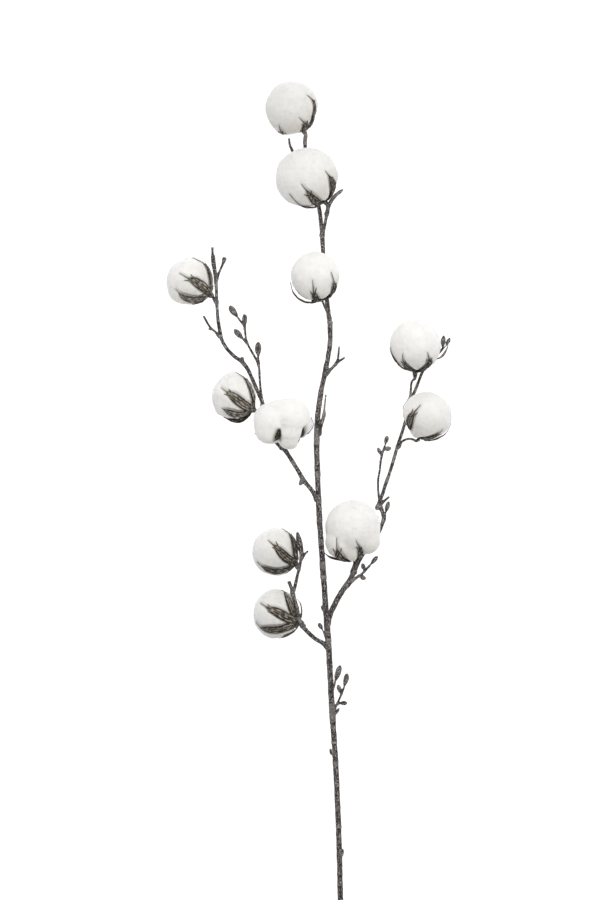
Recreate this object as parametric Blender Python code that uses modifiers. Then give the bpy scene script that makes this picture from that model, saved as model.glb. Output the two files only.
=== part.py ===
"""Cotton stem lying on a flat surface: a dark branching twig that carries eleven cotton bolls.

Frame: +Z is up, +Y runs along the stem from its cut end to its tip, and X runs across it.
The origin is on the surface, under the middle of the object's box.
The tables are in millimetres and degrees, and the objects are built in metres.
"""

import math
from typing import NamedTuple

import bpy
from mathutils import Vector

MM = 0.001
GAP = 0.3  # clearance between pieces that touch

BRACT_THICKNESS = 0.9
BRACT_CLEARANCE = 0.028  # from the cotton to the inside of the bur's cup, as a share of its radius
EDGE_CLEARANCE = 1.0  # added to it at the bracts' edges
CUP_ANGLE = 17.0  # the bur is a closed cup this far from its base pole
BRACT_HALF_WIDTH = 30.0  # the widest half angle that a bract takes round the axis
LOBE_SHARPNESS = 1.5  # how quickly a bract narrows towards its tip
LOBE_OFFSETS = (-0.5, -0.2, 0.0, 0.2, 0.5)  # a bract's rays, as shares of its half width
BUR_RINGS = 5
COTTON_SEGMENTS = 16
COTTON_RINGS = 10

# A bud's outline: the share of its length, and the share of its radius there.
BUD_OUTLINE = ((0.0, 0.42), (0.25, 0.85), (0.52, 1.0), (0.8, 0.78), (1.0, 0.3))

# Each point of a route is (x, y, z, radius).
MAIN_STEM_LOWER = [
    (31.2, -412.4, 2.9, 2.75),
    (29.5, -345, 8, 2.75),
    (26, -265, 15, 2.8),
    (22, -205, 20, 2.9),
    (19, -150, 24, 3.0),
    (16, -110, 26, 2.95),
    (13, -67, 27, 2.85),
    (10, -25, 27.5, 2.8),
    (8.3, 15, 27.5, 2.8),
    (7.2, 49, 27, 2.8),
    (8, 75, 26.5, 2.75),
    (11, 100, 25.5, 2.65),
    (16.4, 127, 24.5, 2.5),
    (20.3, 150, 23.5, 2.4),
    (20.6, 172, 22.5, 2.55),
]
MAIN_STEM_UPPER = [
    (20.4, 173.2, 22.4, 2.2),
    (17.8, 192, 21, 2.25),
    (15.2, 218, 18, 2.2),
    (13.4, 247, 14, 2.2),
    (11.8, 271, 10.5, 2.1),
    (9.6, 288, 8.2, 2.05),
    (5.2, 305, 6.6, 2.0),
    (-0.5, 322, 5.5, 1.9),
    (-4, 343, 5, 1.8),
    (-5, 356, 4.6, 1.75),
]
LEFT_LOWER_BRANCH = [
    (6.4, -144, 28, 2.15),
    (-1.2, -137.3, 34, 2.05),
    (-7, -130.5, 39, 2.0),
    (-10.9, -122.6, 42, 1.95),
    (-12.6, -113.5, 43, 1.9),
    (-14.4, -106, 43, 1.9),
    (-16.3, -99, 42.5, 1.9),
    (-14.4, -90.5, 41, 1.7),
    (-12.5, -82, 39.5, 1.6),
    (-10.6, -74, 38.5, 1.6),
    (-8.7, -65, 37.5, 1.6),
    (-7.8, -57.5, 37, 1.9),
    (-8.8, -50.5, 37.5, 2.4),
    (-10.5, -43.5, 38.5, 2.2),
    (-11.6, -39.5, 39.5, 1.1),
]
LEFT_UPPER_BRANCH = [
    (0.8, 6.8, 27.4, 2.2),
    (-5.7, 14.4, 27, 2.2),
    (-10.4, 22.5, 26.5, 2.1),
    (-15.5, 31, 25.5, 2.1),
    (-20.5, 39, 26.5, 2.1),
    (-25.5, 46, 26.5, 2.2),
    (-32, 51.5, 25.5, 2.0),
    (-39, 61, 22, 1.9),
    (-43.5, 75, 20, 1.9),
    (-46.6, 91, 20.5, 1.9),
    (-51, 101.5, 22, 1.9),
    (-57, 115.5, 25, 1.95),
    (-62.5, 127, 27.5, 2.0),
    (-67.5, 133, 29, 1.95),
    (-75, 138.5, 30.5, 1.85),
    (-82, 145.5, 31.5, 1.8),
    (-87, 153.5, 32.5, 1.75),
    (-89.5, 163.5, 33.5, 1.75),
    (-91.2, 174, 34, 1.7),
    (-92.2, 185.5, 34.5, 1.65),
    (-92.7, 198, 35, 1.65),
    (-93.3, 211.5, 36, 1.65),
    (-94.4, 222, 37.5, 1.7),
    (-95.9, 233.5, 39.5, 1.95),
    (-96.3, 239, 40.5, 1.7),
    (-96.6, 241, 41, 0.9),
    (-96.9, 247, 42.5, 0.95),
]
RIGHT_BRANCH = [
    (26.8, -106.3, 24.3, 2.75),
    (34.2, -94, 22.5, 2.7),
    (40, -86, 20.5, 2.6),
    (45.6, -76.5, 17.5, 2.5),
    (51, -67, 13, 2.2),
    (58.5, -54.5, 8.5, 2.0),
    (66, -43.5, 6.5, 1.9),
    (72, -32, 6.5, 1.9),
    (74.3, -23, 7, 1.9),
    (72.7, -16, 8, 2.0),
    (70.2, -10.5, 9, 2.4),
    (71, -5, 9, 2.0),
    (73.5, 1.5, 8.5, 1.75),
    (75.7, 9, 8, 1.75),
    (79.6, 20, 7.5, 1.7),
    (83.5, 32, 7, 1.65),
    (87.2, 45, 6.5, 1.65),
    (89.8, 53.5, 6, 1.65),
    (93.2, 63.5, 5.5, 1.6),
    (97.3, 78, 4.6, 1.6),
    (101.6, 96, 5, 1.7),
    (105.5, 103.5, 5, 1.55),
    (108.7, 111.5, 4.8, 1.5),
    (112.5, 121.5, 4.4, 1.45),
    (118, 131, 4.6, 1.4),
    (124.5, 137, 6, 1.35),
    (130, 142.5, 9, 1.3),
]


class Boll(NamedTuple):
    """One cotton ball in its bur. The base is where the bur sits on its stalk."""

    centre: tuple
    base: tuple  # from the centre towards the base, any length
    across: float  # the cotton's radius across the axis
    along: float  # and along it
    # Each bract's place round the axis (0 is uppermost), the angle of its tip from the base
    # pole, and how far the tip stands off the cotton.
    bracts: tuple


BOLLS = {
    "01": Boll((-17.7, 387.2, 27.6), (0.40, -0.75, -0.53), 25.3, 26.2,
               ((-4, 88, 0.6), (80, 99, 0.5), (160, 90, 0.6), (236, 88, 0.6), (310, 91, 0.5))),
    "02": Boll((-2.8, 316.6, 41.5), (0.55, -0.70, -0.46), 29.5, 29.3,
               ((-17, 102, 0.5), (34, 100, 0.4), (115, 92, 0.6), (210, 90, 0.6), (312, 102, 0.6))),
    "03": Boll((5.5, 218, 44), (0.12, -0.98, -0.10), 23.0, 24.4,
               ((-8, 87, 0.6), (50, 97, 0.6), (125, 90, 0.6), (205, 90, 0.6), (278, 92, 3.0))),
    "04": Boll((-119.5, 214, 22.3), (0.80, -0.54, 0.25), 22.2, 22.4,
               ((3, 103, 0.4), (68, 103, 0.6), (150, 92, 0.6), (235, 92, 0.6), (315, 94, 0.6))),
    "05": Boll((-75.5, 98, 22.15), (0.81, -0.53, 0.25), 20.9, 21.2,
               ((3, 104, 0.4), (69, 100, 0.6), (160, 92, 0.6), (258, 84, 4.0), (310, 87, 0.4))),
    "06": Boll((-26.5, 71, 51.0), (0.02, -0.80, -0.60), 28.2, 26.4,
               ((-13, 103, 0.8), (54, 97, 0.6), (102, 90, 0.5), (190, 72, 0.6), (280, 72, 0.6))),
    "07": Boll((106.2, 149.5, 27.65), (-0.02, -0.95, -0.30), 24.6, 25.6,
               ((-28, 83, 0.6), (29, 91, 0.6), (88, 86, 7.5), (180, 92, 0.6), (289, 89, 0.6))),
    "08": Boll((117, 79, 26.5), (-0.33, -0.94, -0.05), 23.1, 23.2,
               ((-35, 102, 0.4), (42, 76, 0.5), (92, 86, 1.2), (180, 90, 0.6), (280, 104, 0.6))),
    "09": Boll((42.5, -35, 31.15), (0.12, -0.94, -0.33), 28.0, 28.4,
               ((7, 86, 0.6), (118, 90, 0.6), (190, 90, 0.6), (258, 66, 8.0), (331, 91, 0.6))),
    "10": Boll((-34, -56.5, 23.1), (0.83, -0.51, 0.22), 22.6, 22.8,
               ((14, 104, 0.4), (67, 100, 0.5), (155, 92, 0.6), (230, 92, 0.6), (306, 104, 0.6))),
    "11": Boll((-32.5, -119, 24.4), (0.91, -0.32, 0.25), 22.8, 23.0,
               ((8, 106, 0.5), (60, 90, 0.5), (112, 84, 1.5), (195, 90, 0.6), (278, 76, 0.5),
                (314, 106, 0.5))),
}


def hex_colour(red, green, blue):
    """A colour given in steps of 255, as Blender's linear values."""
    linear = [((c / 255 + 0.055) / 1.055) ** 2.4 for c in (red, green, blue)]
    return (*linear, 1.0)


def material(name, colour, roughness):
    made = bpy.data.materials.new(name)
    made.use_nodes = True
    shader = made.node_tree.nodes["Principled BSDF"]
    shader.inputs["Base Color"].default_value = colour
    shader.inputs["Roughness"].default_value = roughness
    shader.inputs["Metallic"].default_value = 0.0
    return made


def clear_scene():
    for obj in list(bpy.data.objects):
        bpy.data.objects.remove(obj)


def tube(name, points, bevel_resolution=2):
    """A round, tapering tube along a route, as a curve object with closed ends."""
    curve = bpy.data.curves.new(name, "CURVE")
    curve.dimensions = "3D"
    curve.bevel_depth = MM
    curve.bevel_resolution = bevel_resolution
    curve.use_fill_caps = True
    spline = curve.splines.new("POLY")
    spline.points.add(len(points) - 1)
    for point, place in zip(spline.points, points):
        point.co = (place[0] * MM, place[1] * MM, place[2] * MM, 1)
        point.radius = place[3]
    spline.use_smooth = True
    obj = bpy.data.objects.new(name, curve)
    bpy.context.scene.collection.objects.link(obj)
    return obj


def as_mesh(obj):
    """Replaces a curve object with a mesh object of the same shape, its caps welded on."""
    bpy.context.view_layer.update()
    graph = bpy.context.evaluated_depsgraph_get()
    mesh = bpy.data.meshes.new_from_object(obj.evaluated_get(graph))
    place = obj.matrix_world.copy()
    name = obj.name
    bpy.data.objects.remove(obj)
    made = bpy.data.objects.new(name, mesh)
    made.matrix_world = place
    bpy.context.scene.collection.objects.link(made)
    weld = made.modifiers.new("weld_caps", "WELD")
    weld.merge_threshold = 0.00001
    return made


def branch(name, arms, finish, parts, cutters, bevel_resolution=2):
    """A branch of one or more arms. The first is the main one, and the rest grow out of it."""
    main = tube(name, arms[0], bevel_resolution)
    if len(arms) > 1:
        main = as_mesh(main)
    for number, points in enumerate(arms[1:], 1):
        arm = as_mesh(tube(f"{name}_arm_{number}", points, 1))
        arm.hide_render = True
        arm.display_type = "WIRE"
        move_to(arm, cutters)
        union = main.modifiers.new(f"join_arm_{number}", "BOOLEAN")
        union.operation = "UNION"
        union.object = arm
    finish_part(main, finish, parts)
    return main


def move_to(obj, collection):
    for holder in list(obj.users_collection):
        holder.objects.unlink(obj)
    collection.objects.link(obj)


def finish_part(obj, finish, parts):
    obj.data.materials.append(finish)
    move_to(obj, parts)


def clearance(route, place):
    """How far a place is from the skin of the tube along a route, and the nearest point inside."""
    found = []
    for start, end in zip(route, route[1:]):
        a, b = Vector(start[:3]), Vector(end[:3])
        share = min(max((place - a).dot(b - a) / (b - a).length_squared, 0), 1)
        inside = a.lerp(b, share)
        radius = start[3] + (end[3] - start[3]) * share
        found.append(((place - inside).length - radius, inside))
    return min(found, key=lambda item: item[0])


def seat(parent, near, towards, radius):
    """Where a side shoot of this radius starts, so that the rim of its end just clears its parent.

    near is a point on or by the parent's route, and towards is the shoot's next point.
    """
    _, foot = clearance(parent, Vector(near))
    heading = (Vector(towards[:3]) - foot).normalized()
    one = heading.orthogonal().normalized() * radius
    other = heading.cross(one)
    turns = [math.tau * step / 16 for step in range(16)]
    rim = [one * math.cos(turn) + other * math.sin(turn) for turn in turns]
    start = foot
    while min(clearance(parent, start + point)[0] for point in rim) < GAP:
        start = start + heading * 0.05
    return (*start, radius)


def shoot(parent, near, points):
    """A side shoot's route, from its seat on the parent through the given points."""
    return [seat(parent, near, points[0], points[0][3]), *points]


def bud(start, tip, radius):
    """A bud's route: a drop-shaped swelling from start to tip."""
    start, tip = Vector(start), Vector(tip)
    return [(*start.lerp(tip, share), radius * width) for share, width in BUD_OUTLINE]


def boll_frame(boll):
    """The boll's centre, and its unit vectors: to the base, upwards across it, and sideways."""
    base = Vector(boll.base).normalized()
    upper = (Vector((0, 0, 1)) - base * base.z).normalized()
    return Vector(boll.centre), base, upper, (-base).cross(upper)


def surface_point(boll, angle, azimuth, offset):
    """A point that stands `offset` off the cotton, at an angle from the base pole."""
    centre, base, upper, side = boll_frame(boll)
    angle, azimuth = math.radians(angle), math.radians(azimuth)
    across = upper * math.cos(azimuth) + side * math.sin(azimuth)
    return (centre + base * (boll.along + offset) * math.cos(angle)
            + across * (boll.across + offset) * math.sin(angle))


def stalk_end(boll, beyond=0.0):
    """Where a stalk meets the boll's bur, or a point further out along the axis."""
    centre, base, _, _ = boll_frame(boll)
    bur_wall = BRACT_CLEARANCE * boll.across + BRACT_THICKNESS
    return tuple(centre + base * (boll.along + bur_wall + GAP + beyond))


def receptacle(boll, radius):
    """The last points of a stalk: it widens into a knob under the bur."""
    return [
        (*stalk_end(boll, 6.0), radius),
        (*stalk_end(boll, 3.2), radius * 1.35),
        (*stalk_end(boll, 1.2), 3.4),
        (*stalk_end(boll), 3.0),
    ]


def cotton(name, boll, finish, parts):
    """The cotton ball: an ellipsoid whose pole lies on the boll's axis."""
    bpy.ops.mesh.primitive_uv_sphere_add(
        segments=COTTON_SEGMENTS, ring_count=COTTON_RINGS, radius=MM, location=(0, 0, 0)
    )
    obj = bpy.context.object
    obj.name = name
    _, base, _, _ = boll_frame(boll)
    obj.scale = (boll.across, boll.across, boll.along)
    obj.rotation_euler = base.to_track_quat("Z", "Y").to_euler()
    obj.location = Vector(boll.centre) * MM
    obj.data.shade_smooth()
    finish_part(obj, finish, parts)


def bur_rays(boll):
    """The azimuth, outer angle and tip lift of each ray of a bur's star shape."""
    rays = []
    bracts = sorted((azimuth % 360, reach, lift) for azimuth, reach, lift in boll.bracts)
    for index, (azimuth, reach, lift) in enumerate(bracts):
        following = bracts[(index + 1) % len(bracts)][0]
        before = (azimuth - bracts[index - 1][0]) % 360 / 2
        after = (following - azimuth) % 360 / 2
        for share in LOBE_OFFSETS:
            width = min(before if share < 0 else after, BRACT_HALF_WIDTH)
            lobe = (1 - abs(share)) ** LOBE_SHARPNESS
            angle = CUP_ANGLE + (reach - CUP_ANGLE) * lobe
            rays.append((azimuth + share * width, angle, lift * lobe**2))
        rays.append((azimuth + after, CUP_ANGLE, 0))
    return rays


def bur(name, boll, finish, parts):
    """The bur: a thin cup that splits into pointed bracts, which clasp the cotton."""
    rays = bur_rays(boll)
    wall = BRACT_CLEARANCE * boll.across
    places = [surface_point(boll, 0, 0, wall)]
    for ring in range(1, BUR_RINGS + 1):
        share = ring / BUR_RINGS
        for azimuth, angle, lift in rays:
            # The rings stand further off where they are far apart, so that the flat faces
            # between them still clear the cotton.
            bulge = boll.across * (1 / math.cos(math.radians(angle / BUR_RINGS / 2)) - 1)
            offset = wall + bulge + EDGE_CLEARANCE * share**2 + lift * share**3
            places.append(surface_point(boll, angle * share, azimuth, offset))
    count = len(rays)
    faces = []
    for i in range(count):
        j = (i + 1) % count
        faces.append((0, 1 + j, 1 + i))
        for ring in range(BUR_RINGS - 1):
            inner, outer = 1 + ring * count, 1 + (ring + 1) * count
            faces.append((inner + i, inner + j, outer + j, outer + i))
    mesh = bpy.data.meshes.new(name)
    mesh.from_pydata([place * MM for place in places], [], faces)
    mesh.shade_smooth()
    obj = bpy.data.objects.new(name, mesh)
    bpy.context.scene.collection.objects.link(obj)
    shell = obj.modifiers.new("thickness", "SOLIDIFY")
    shell.thickness = BRACT_THICKNESS * MM
    shell.offset = 1.0
    finish_part(obj, finish, parts)


def main_stem(bark, parts, cutters):
    upper = [*MAIN_STEM_UPPER, *receptacle(BOLLS["01"], 1.7)]
    branch("main_stem_lower", [MAIN_STEM_LOWER], bark, parts, cutters, 4)
    branch("main_stem_upper", [upper], bark, parts, cutters, 3)


def stem_spurs(bark, parts, cutters):
    """The short shoots and buds that grow straight from the lower main stem."""
    stem = MAIN_STEM_LOWER
    forked = shoot(stem, (17, 123, 24.5), [(22.5, 127, 25.2, 1.7), (27.5, 132, 25.8, 1.4),
                                          (35.4, 137.7, 25.5, 0.9)])
    upright = [(27.2, 131.5, 25.8, 1.1), (29, 141, 26.6, 1.1), (29.6, 148.5, 27.2, 0.95)]
    branch("forked_spur", [forked, upright], bark, parts, cutters)
    thin = shoot(stem, (8.5, 62, 26.8), [(13.2, 76, 27.5, 1.5), (14.6, 81.5, 28, 1.8),
                                         (14.8, 86, 28.5, 0.85), (16.4, 100.4, 30, 0.75)])
    branch("thin_spur", [thin], bark, parts, cutters)
    small = shoot(stem, (18.3, -143, 24.3), [(13.5, -135.5, 26.5, 1.0)])
    small += bud((12.6, -133.5, 27), (9.3, -128, 28.2), 2.0)
    branch("small_bud", [small], bark, parts, cutters)
    tall = shoot(stem, (20.8, -199, 20.7), [(25, -190.5, 26.2, 1.2)])
    tall += bud((26.2, -185, 27), (30.8, -170, 27.6), 2.8)
    branch("tall_bud", [tall], bark, parts, cutters)
    cluster = shoot(stem, (22.3, -218, 19), [(27, -210.3, 20.2, 1.2), (31, -201.5, 21, 1.2),
                                             (34.2, -193.5, 21.6, 1.3)])
    cluster += bud((35, -190.5, 21.8), (37.8, -179.5, 22.8), 2.6)
    side_low = [(28.5, -207.5, 20.4, 0.9), *bud((30.5, -208, 20.8), (37.3, -208, 21.6), 2.1)]
    side_high = [(31.8, -200, 21.2, 0.9), *bud((30.8, -197.5, 22), (28.6, -190.5, 23), 1.9)]
    branch("bud_cluster", [cluster, side_low, side_high], bark, parts, cutters)


def top_shoots(bark, parts, cutters):
    """The shoots on the upper main stem, and the stalks of the bolls that it carries."""
    stem = MAIN_STEM_UPPER
    hidden = shoot(stem, (1, 316, 6), [(-8, 329, 6, 1.3), (-16.5, 343.5, 7.2, 1.3),
                                       (-19.5, 350.5, 8.5, 1.4), (-20.6, 357.5, 10, 1.0)])
    branch("tip_shoot", [hidden], bark, parts, cutters)
    second = BOLLS["02"]
    stalk = shoot(stem, (12.6, 260, 12.4), [(15.6, 272, 17.5, 1.5), (17.3, 282, 21.5, 1.5)])
    stalk += receptacle(second, 1.5)
    spur = [(17.2, 281, 21, 1.3), (21.5, 293.5, 24, 1.4), (27, 300.5, 26, 1.5), (33, 304.5, 28, 1.2)]
    branch("stalk_02", [stalk, spur], bark, parts, cutters)
    third = BOLLS["03"]
    stalk = shoot(stem, (19.4, 180, 22), [(16.6, 185.6, 28, 1.3), (14, 188, 33.5, 1.3),
                                          (11, 190, 38.5, 1.5)])
    stalk += receptacle(third, 1.4)[2:]
    branch("stalk_03", [stalk], bark, parts, cutters)


def left_upper(bark, parts, cutters):
    """The upper left branch with its spurs and bud twig, and the stalks of bolls 04 to 06."""
    start = shoot(MAIN_STEM_LOWER, (8.9, -4, 27.5), LEFT_UPPER_BRANCH)
    outer_spur = [(-89.8, 160, 33.2, 1.1), (-98.3, 166.5, 35.5, 1.1), (-105.8, 178.8, 38, 0.7)]
    inner_spur = [(-93.5, 216, 36.5, 1.2), (-88.7, 225.8, 38.5, 1.2), (-85.2, 234, 40, 1.8),
                  (-84.7, 236.5, 40.5, 1.4)]
    stub = [(-67, 132.5, 29, 1.5), (-67.2, 137.8, 32, 1.4)]
    knuckle = [(-7, 15, 26.8, 1.7), (-9, 11.5, 26.6, 1.5)]
    branch("left_upper_branch", [start, outer_spur, inner_spur, stub, knuckle], bark, parts, cutters)

    twig = shoot(LEFT_UPPER_BRANCH, (-47.5, 93, 20.6), [
        (-49, 106, 25.5, 1.25), (-49.8, 116, 29, 1.2), (-50.8, 129, 33, 1.2),
        (-55.2, 138.7, 36, 1.2), (-60, 147.3, 38.5, 1.2), (-62.9, 153.5, 40, 1.2),
        (-64, 161, 41.5, 1.1), (-64.9, 167.5, 43, 1.1), (-69.5, 174.3, 44.5, 1.0),
    ])
    twig += bud((-72.5, 178.7, 45.5), (-79.7, 188.3, 47.5), 3.0)
    first = [(-51, 131, 33.5, 1.0), *bud((-51.2, 138.5, 35.8), (-51.2, 152.5, 38.5), 2.9)]
    second = [(-62.7, 153, 40, 1.0), *bud((-66.5, 155.8, 41), (-75, 165, 42.5), 2.6)]
    third = [(-64.7, 166.5, 42.8, 0.9), *bud((-64.3, 170.5, 43.8), (-64.9, 180.3, 45.5), 2.5)]
    branch("left_bud_twig", [twig, first, second, third], bark, parts, cutters)

    stalk = shoot(LEFT_UPPER_BRANCH, (-92.6, 193.5, 34.8), [(-96.7, 197.8, 32, 1.5)])
    stalk += receptacle(BOLLS["04"], 1.5)[2:]
    branch("stalk_04", [stalk], bark, parts, cutters)
    stalk = shoot(LEFT_UPPER_BRANCH, (-42.5, 71, 20), [(-49, 80, 26, 1.3)])
    stalk += receptacle(BOLLS["05"], 1.4)[1:]
    branch("stalk_05", [stalk], bark, parts, cutters)
    sixth = BOLLS["06"]
    knob = [(*stalk_end(sixth, 1.5), 2.6), (*stalk_end(sixth), 2.8)]
    stalk = shoot(LEFT_UPPER_BRANCH, (-28, 48, 26), knob)
    branch("stalk_06", [stalk], bark, parts, cutters)


def right_side(bark, parts, cutters):
    """The right branch with its knot, spurs and buds, and the stalks of bolls 07 to 09."""
    start = shoot(MAIN_STEM_LOWER, (17.5, -127, 25.2), RIGHT_BRANCH)
    start += bud((132.8, 147, 12.5), (134.8, 160, 19.5), 2.2)
    outer_bud = [(129.5, 142, 8.7, 1.0), (134, 147.3, 10.5, 1.0),
                 *bud((136.4, 149.5, 12), (140.5, 157.5, 16), 1.9)]
    low_bud = [(74.3, -24, 7, 1.3), *bud((76.5, -17, 9.5), (79.3, -7, 12), 2.1)]
    knot_spur = [(71, -8.5, 9, 1.3), (75.5, -5.5, 12, 1.2), (80, -1.7, 15, 1.1)]
    knot_stub = [(70.5, -10.5, 9, 2.0), (66.8, -14, 10, 1.6)]
    arms = [start, outer_bud, low_bud, knot_spur, knot_stub]
    branch("right_branch", arms, bark, parts, cutters)

    twig = shoot(RIGHT_BRANCH, (70.4, -8.5, 9), [
        (69.6, -2.3, 13, 1.15), (68.7, 7, 14.5, 1.1), (68.9, 16, 15.5, 1.1),
        (70.4, 25.2, 16.5, 1.1), (71.4, 34.5, 17.5, 1.2), (72.9, 41, 18, 1.05),
        (75.1, 48.3, 19, 1.0),
    ])
    twig += bud((76, 51, 19.5), (78, 59, 20.5), 2.0)
    left_bud = [(72.4, 39, 17.9, 0.8), *bud((70.6, 41.5, 18.6), (68.7, 47, 19.5), 1.5)]
    right_bud = [(74.2, 45, 18.6, 0.8), *bud((76, 45.6, 19), (81.3, 47, 20), 1.8)]
    branch("right_bud_twig", [twig, left_bud, right_bud], bark, parts, cutters)

    centre = shoot(RIGHT_BRANCH, (37.5, -90, 21.7), [(45.5, -83.7, 24.2, 1.4),
                                                     (52.5, -78.7, 25.5, 1.3),
                                                     (57.5, -73.5, 26.5, 1.2)])
    centre += bud((61.5, -69, 27.2), (68, -61.2, 28.5), 2.1)
    under = [(50.3, -80.2, 25.2, 0.9), *bud((51.3, -81.4, 25.6), (55.8, -83.8, 26.5), 1.9)]
    over = [(54.8, -76.4, 26, 0.9), *bud((54.2, -74, 27), (53, -68.8, 28.5), 1.8)]
    branch("centre_bud_twig", [centre, under, over], bark, parts, cutters)

    stalk = shoot(RIGHT_BRANCH, (101.2, 94.5, 5), [(101.5, 104, 9.5, 1.1), (102.6, 113.5, 12.5, 1.1)])
    stalk += receptacle(BOLLS["07"], 1.4)[1:]
    branch("stalk_07", [stalk], bark, parts, cutters)
    stalk = shoot(RIGHT_BRANCH, (88.5, 49, 6.3), [(94.5, 54.5, 10, 1.4), (100, 55.2, 15, 1.4),
                                                  (104, 52, 20.5, 1.5)])
    stalk += receptacle(BOLLS["08"], 1.6)[1:]
    branch("stalk_08", [stalk], bark, parts, cutters)
    stalk = shoot(RIGHT_BRANCH, (44.5, -77, 17.7), receptacle(BOLLS["09"], 2.0)[1:])
    branch("stalk_09", [stalk], bark, parts, cutters)


def left_lower(bark, parts, cutters):
    """The lower left branch with its spurs, and the stalks of bolls 10 and 11."""
    start = shoot(MAIN_STEM_LOWER, (18.9, -150, 24), LEFT_LOWER_BRANCH)
    spur = [(-16.2, -99.5, 42.6, 1.4), (-18, -93, 44, 1.3), (-20.7, -85.8, 46, 1.5)]
    thorn = [(-7.8, -63, 37.4, 1.1), (-5, -59, 38, 1.1), (-1.4, -55.7, 39, 0.9)]
    branch("left_lower_branch", [start, spur, thorn], bark, parts, cutters)
    for number, near in (("10", (-10.3, -72.5, 38.4)), ("11", (-5.5, -131.5, 37.8))):
        boll = BOLLS[number]
        knob = [(*stalk_end(boll, 1.4), 2.6), (*stalk_end(boll), 2.8)]
        branch(f"stalk_{number}", [shoot(LEFT_LOWER_BRANCH, near, knob)], bark, parts, cutters)


def main():
    clear_scene()
    parts = bpy.data.collections.new("cotton_stem")
    cutters = bpy.data.collections.new("branch_arms")
    for collection in (parts, cutters):
        bpy.context.scene.collection.children.link(collection)
    bark = material("bark", hex_colour(92, 84, 80), 0.85)
    bur_skin = material("bur_skin", hex_colour(84, 73, 60), 0.85)
    lint = material("cotton", hex_colour(245, 244, 240), 0.95)
    main_stem(bark, parts, cutters)
    stem_spurs(bark, parts, cutters)
    top_shoots(bark, parts, cutters)
    left_upper(bark, parts, cutters)
    right_side(bark, parts, cutters)
    left_lower(bark, parts, cutters)
    for number, boll in BOLLS.items():
        cotton(f"cotton_{number}", boll, lint, parts)
        bur(f"bur_{number}", boll, bur_skin, parts)


main()
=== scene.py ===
"""Looks of a cotton stem that lies on a pale floor: its bark, its dried burs and its lint.

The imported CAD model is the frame. Tables and working arrays are in millimetres and degrees, and
the finished meshes are in metres.
"""

import math

import bmesh
import bpy
import numpy as np
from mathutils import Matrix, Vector


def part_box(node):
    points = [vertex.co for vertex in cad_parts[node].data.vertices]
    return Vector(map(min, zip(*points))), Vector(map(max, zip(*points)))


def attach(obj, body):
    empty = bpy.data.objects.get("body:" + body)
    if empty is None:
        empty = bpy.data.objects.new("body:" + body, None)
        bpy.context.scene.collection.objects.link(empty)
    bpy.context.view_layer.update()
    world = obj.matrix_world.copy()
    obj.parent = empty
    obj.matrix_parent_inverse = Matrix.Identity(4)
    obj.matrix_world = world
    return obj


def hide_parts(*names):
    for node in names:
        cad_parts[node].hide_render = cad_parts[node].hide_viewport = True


MM = 0.001

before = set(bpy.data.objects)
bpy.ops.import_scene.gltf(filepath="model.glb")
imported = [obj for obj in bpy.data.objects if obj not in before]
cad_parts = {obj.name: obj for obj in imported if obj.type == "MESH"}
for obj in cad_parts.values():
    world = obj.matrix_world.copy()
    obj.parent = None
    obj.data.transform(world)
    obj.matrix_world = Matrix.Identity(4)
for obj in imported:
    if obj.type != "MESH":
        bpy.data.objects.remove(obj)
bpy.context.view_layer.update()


# ---- numbers and noise


def unit(rows):
    """Each row at length 1."""
    return rows / np.maximum(np.linalg.norm(rows, axis=-1, keepdims=True), 1e-9)


def smoothstep(low, high, values):
    share = np.clip((values - low) / (high - low), 0, 1)
    return share * share * (3 - 2 * share)


def bell(values):
    """A hump: 1 at 0, and near 0 beyond 2."""
    return np.exp(-(values**2))


def noise(places, seed):
    """Smooth noise from -1 to 1 at an (n, 3) array of places, with one cell to each unit."""
    cell = np.floor(places).astype(np.int64)
    part = places - cell
    part = part * part * (3 - 2 * part)
    total = np.zeros(len(places))
    for corner in range(8):
        step = np.array([corner & 1, corner >> 1 & 1, corner >> 2 & 1])
        key = (cell + step) @ np.array([73856093, 19349663, 83492791]) + seed * 7919
        key = (key ^ (key >> 13)) * 1274126177 & 0x7FFFFFFF
        key = (key ^ (key >> 11)) * 668265263 & 0x7FFFFFFF
        value = (key >> 7 & 0xFFFF) / 32767.5 - 1
        total += np.where(step, part, 1 - part).prod(axis=1) * value
    return total


def noise_vectors(places, seed):
    """Three noises for each place, as an (n, 3) array."""
    return np.stack([noise(places, seed + k) for k in range(3)], axis=1)


def lengths(line):
    """How far along a line of places each of them lies."""
    return np.concatenate([[0], np.cumsum(np.linalg.norm(np.diff(line, axis=0), axis=1))])


# ---- meshes


class Soup:
    """Vertices, faces and per-vertex values of a mesh that is put together from many parts."""

    def __init__(self):
        self.places, self.faces, self.values, self.count = [], [], {}, 0

    def add(self, places, faces, **values):
        """Adds a part; a value that it doesn't give is 0 on it."""
        places = places.reshape(-1, 3)
        self.places.append(places)
        self.faces.extend(tuple(int(i) + self.count for i in face) for face in faces)
        for name in {**self.values, **values}:
            given = values.get(name, np.zeros(len(places)))
            self.values.setdefault(name, []).append(given)
        self.count += len(places)

    def mesh(self, name):
        """The mesh, still in millimetres."""
        made = bpy.data.meshes.new(name)
        made.from_pydata(np.concatenate(self.places).tolist(), [], self.faces)
        for key, parts in self.values.items():
            store(made, key, np.concatenate(parts))
        return made


def store(mesh, name, values):
    """Keeps a number or a vector for each vertex, which a material reads by name."""
    kind, key = ("FLOAT", "value") if values.ndim == 1 else ("FLOAT_VECTOR", "vector")
    mesh.attributes.new(name, kind, "POINT").data.foreach_set(key, values.ravel())


def placed(name, data):
    """A new object in the scene."""
    obj = bpy.data.objects.new(name, data)
    bpy.context.scene.collection.objects.link(obj)
    return obj


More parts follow.
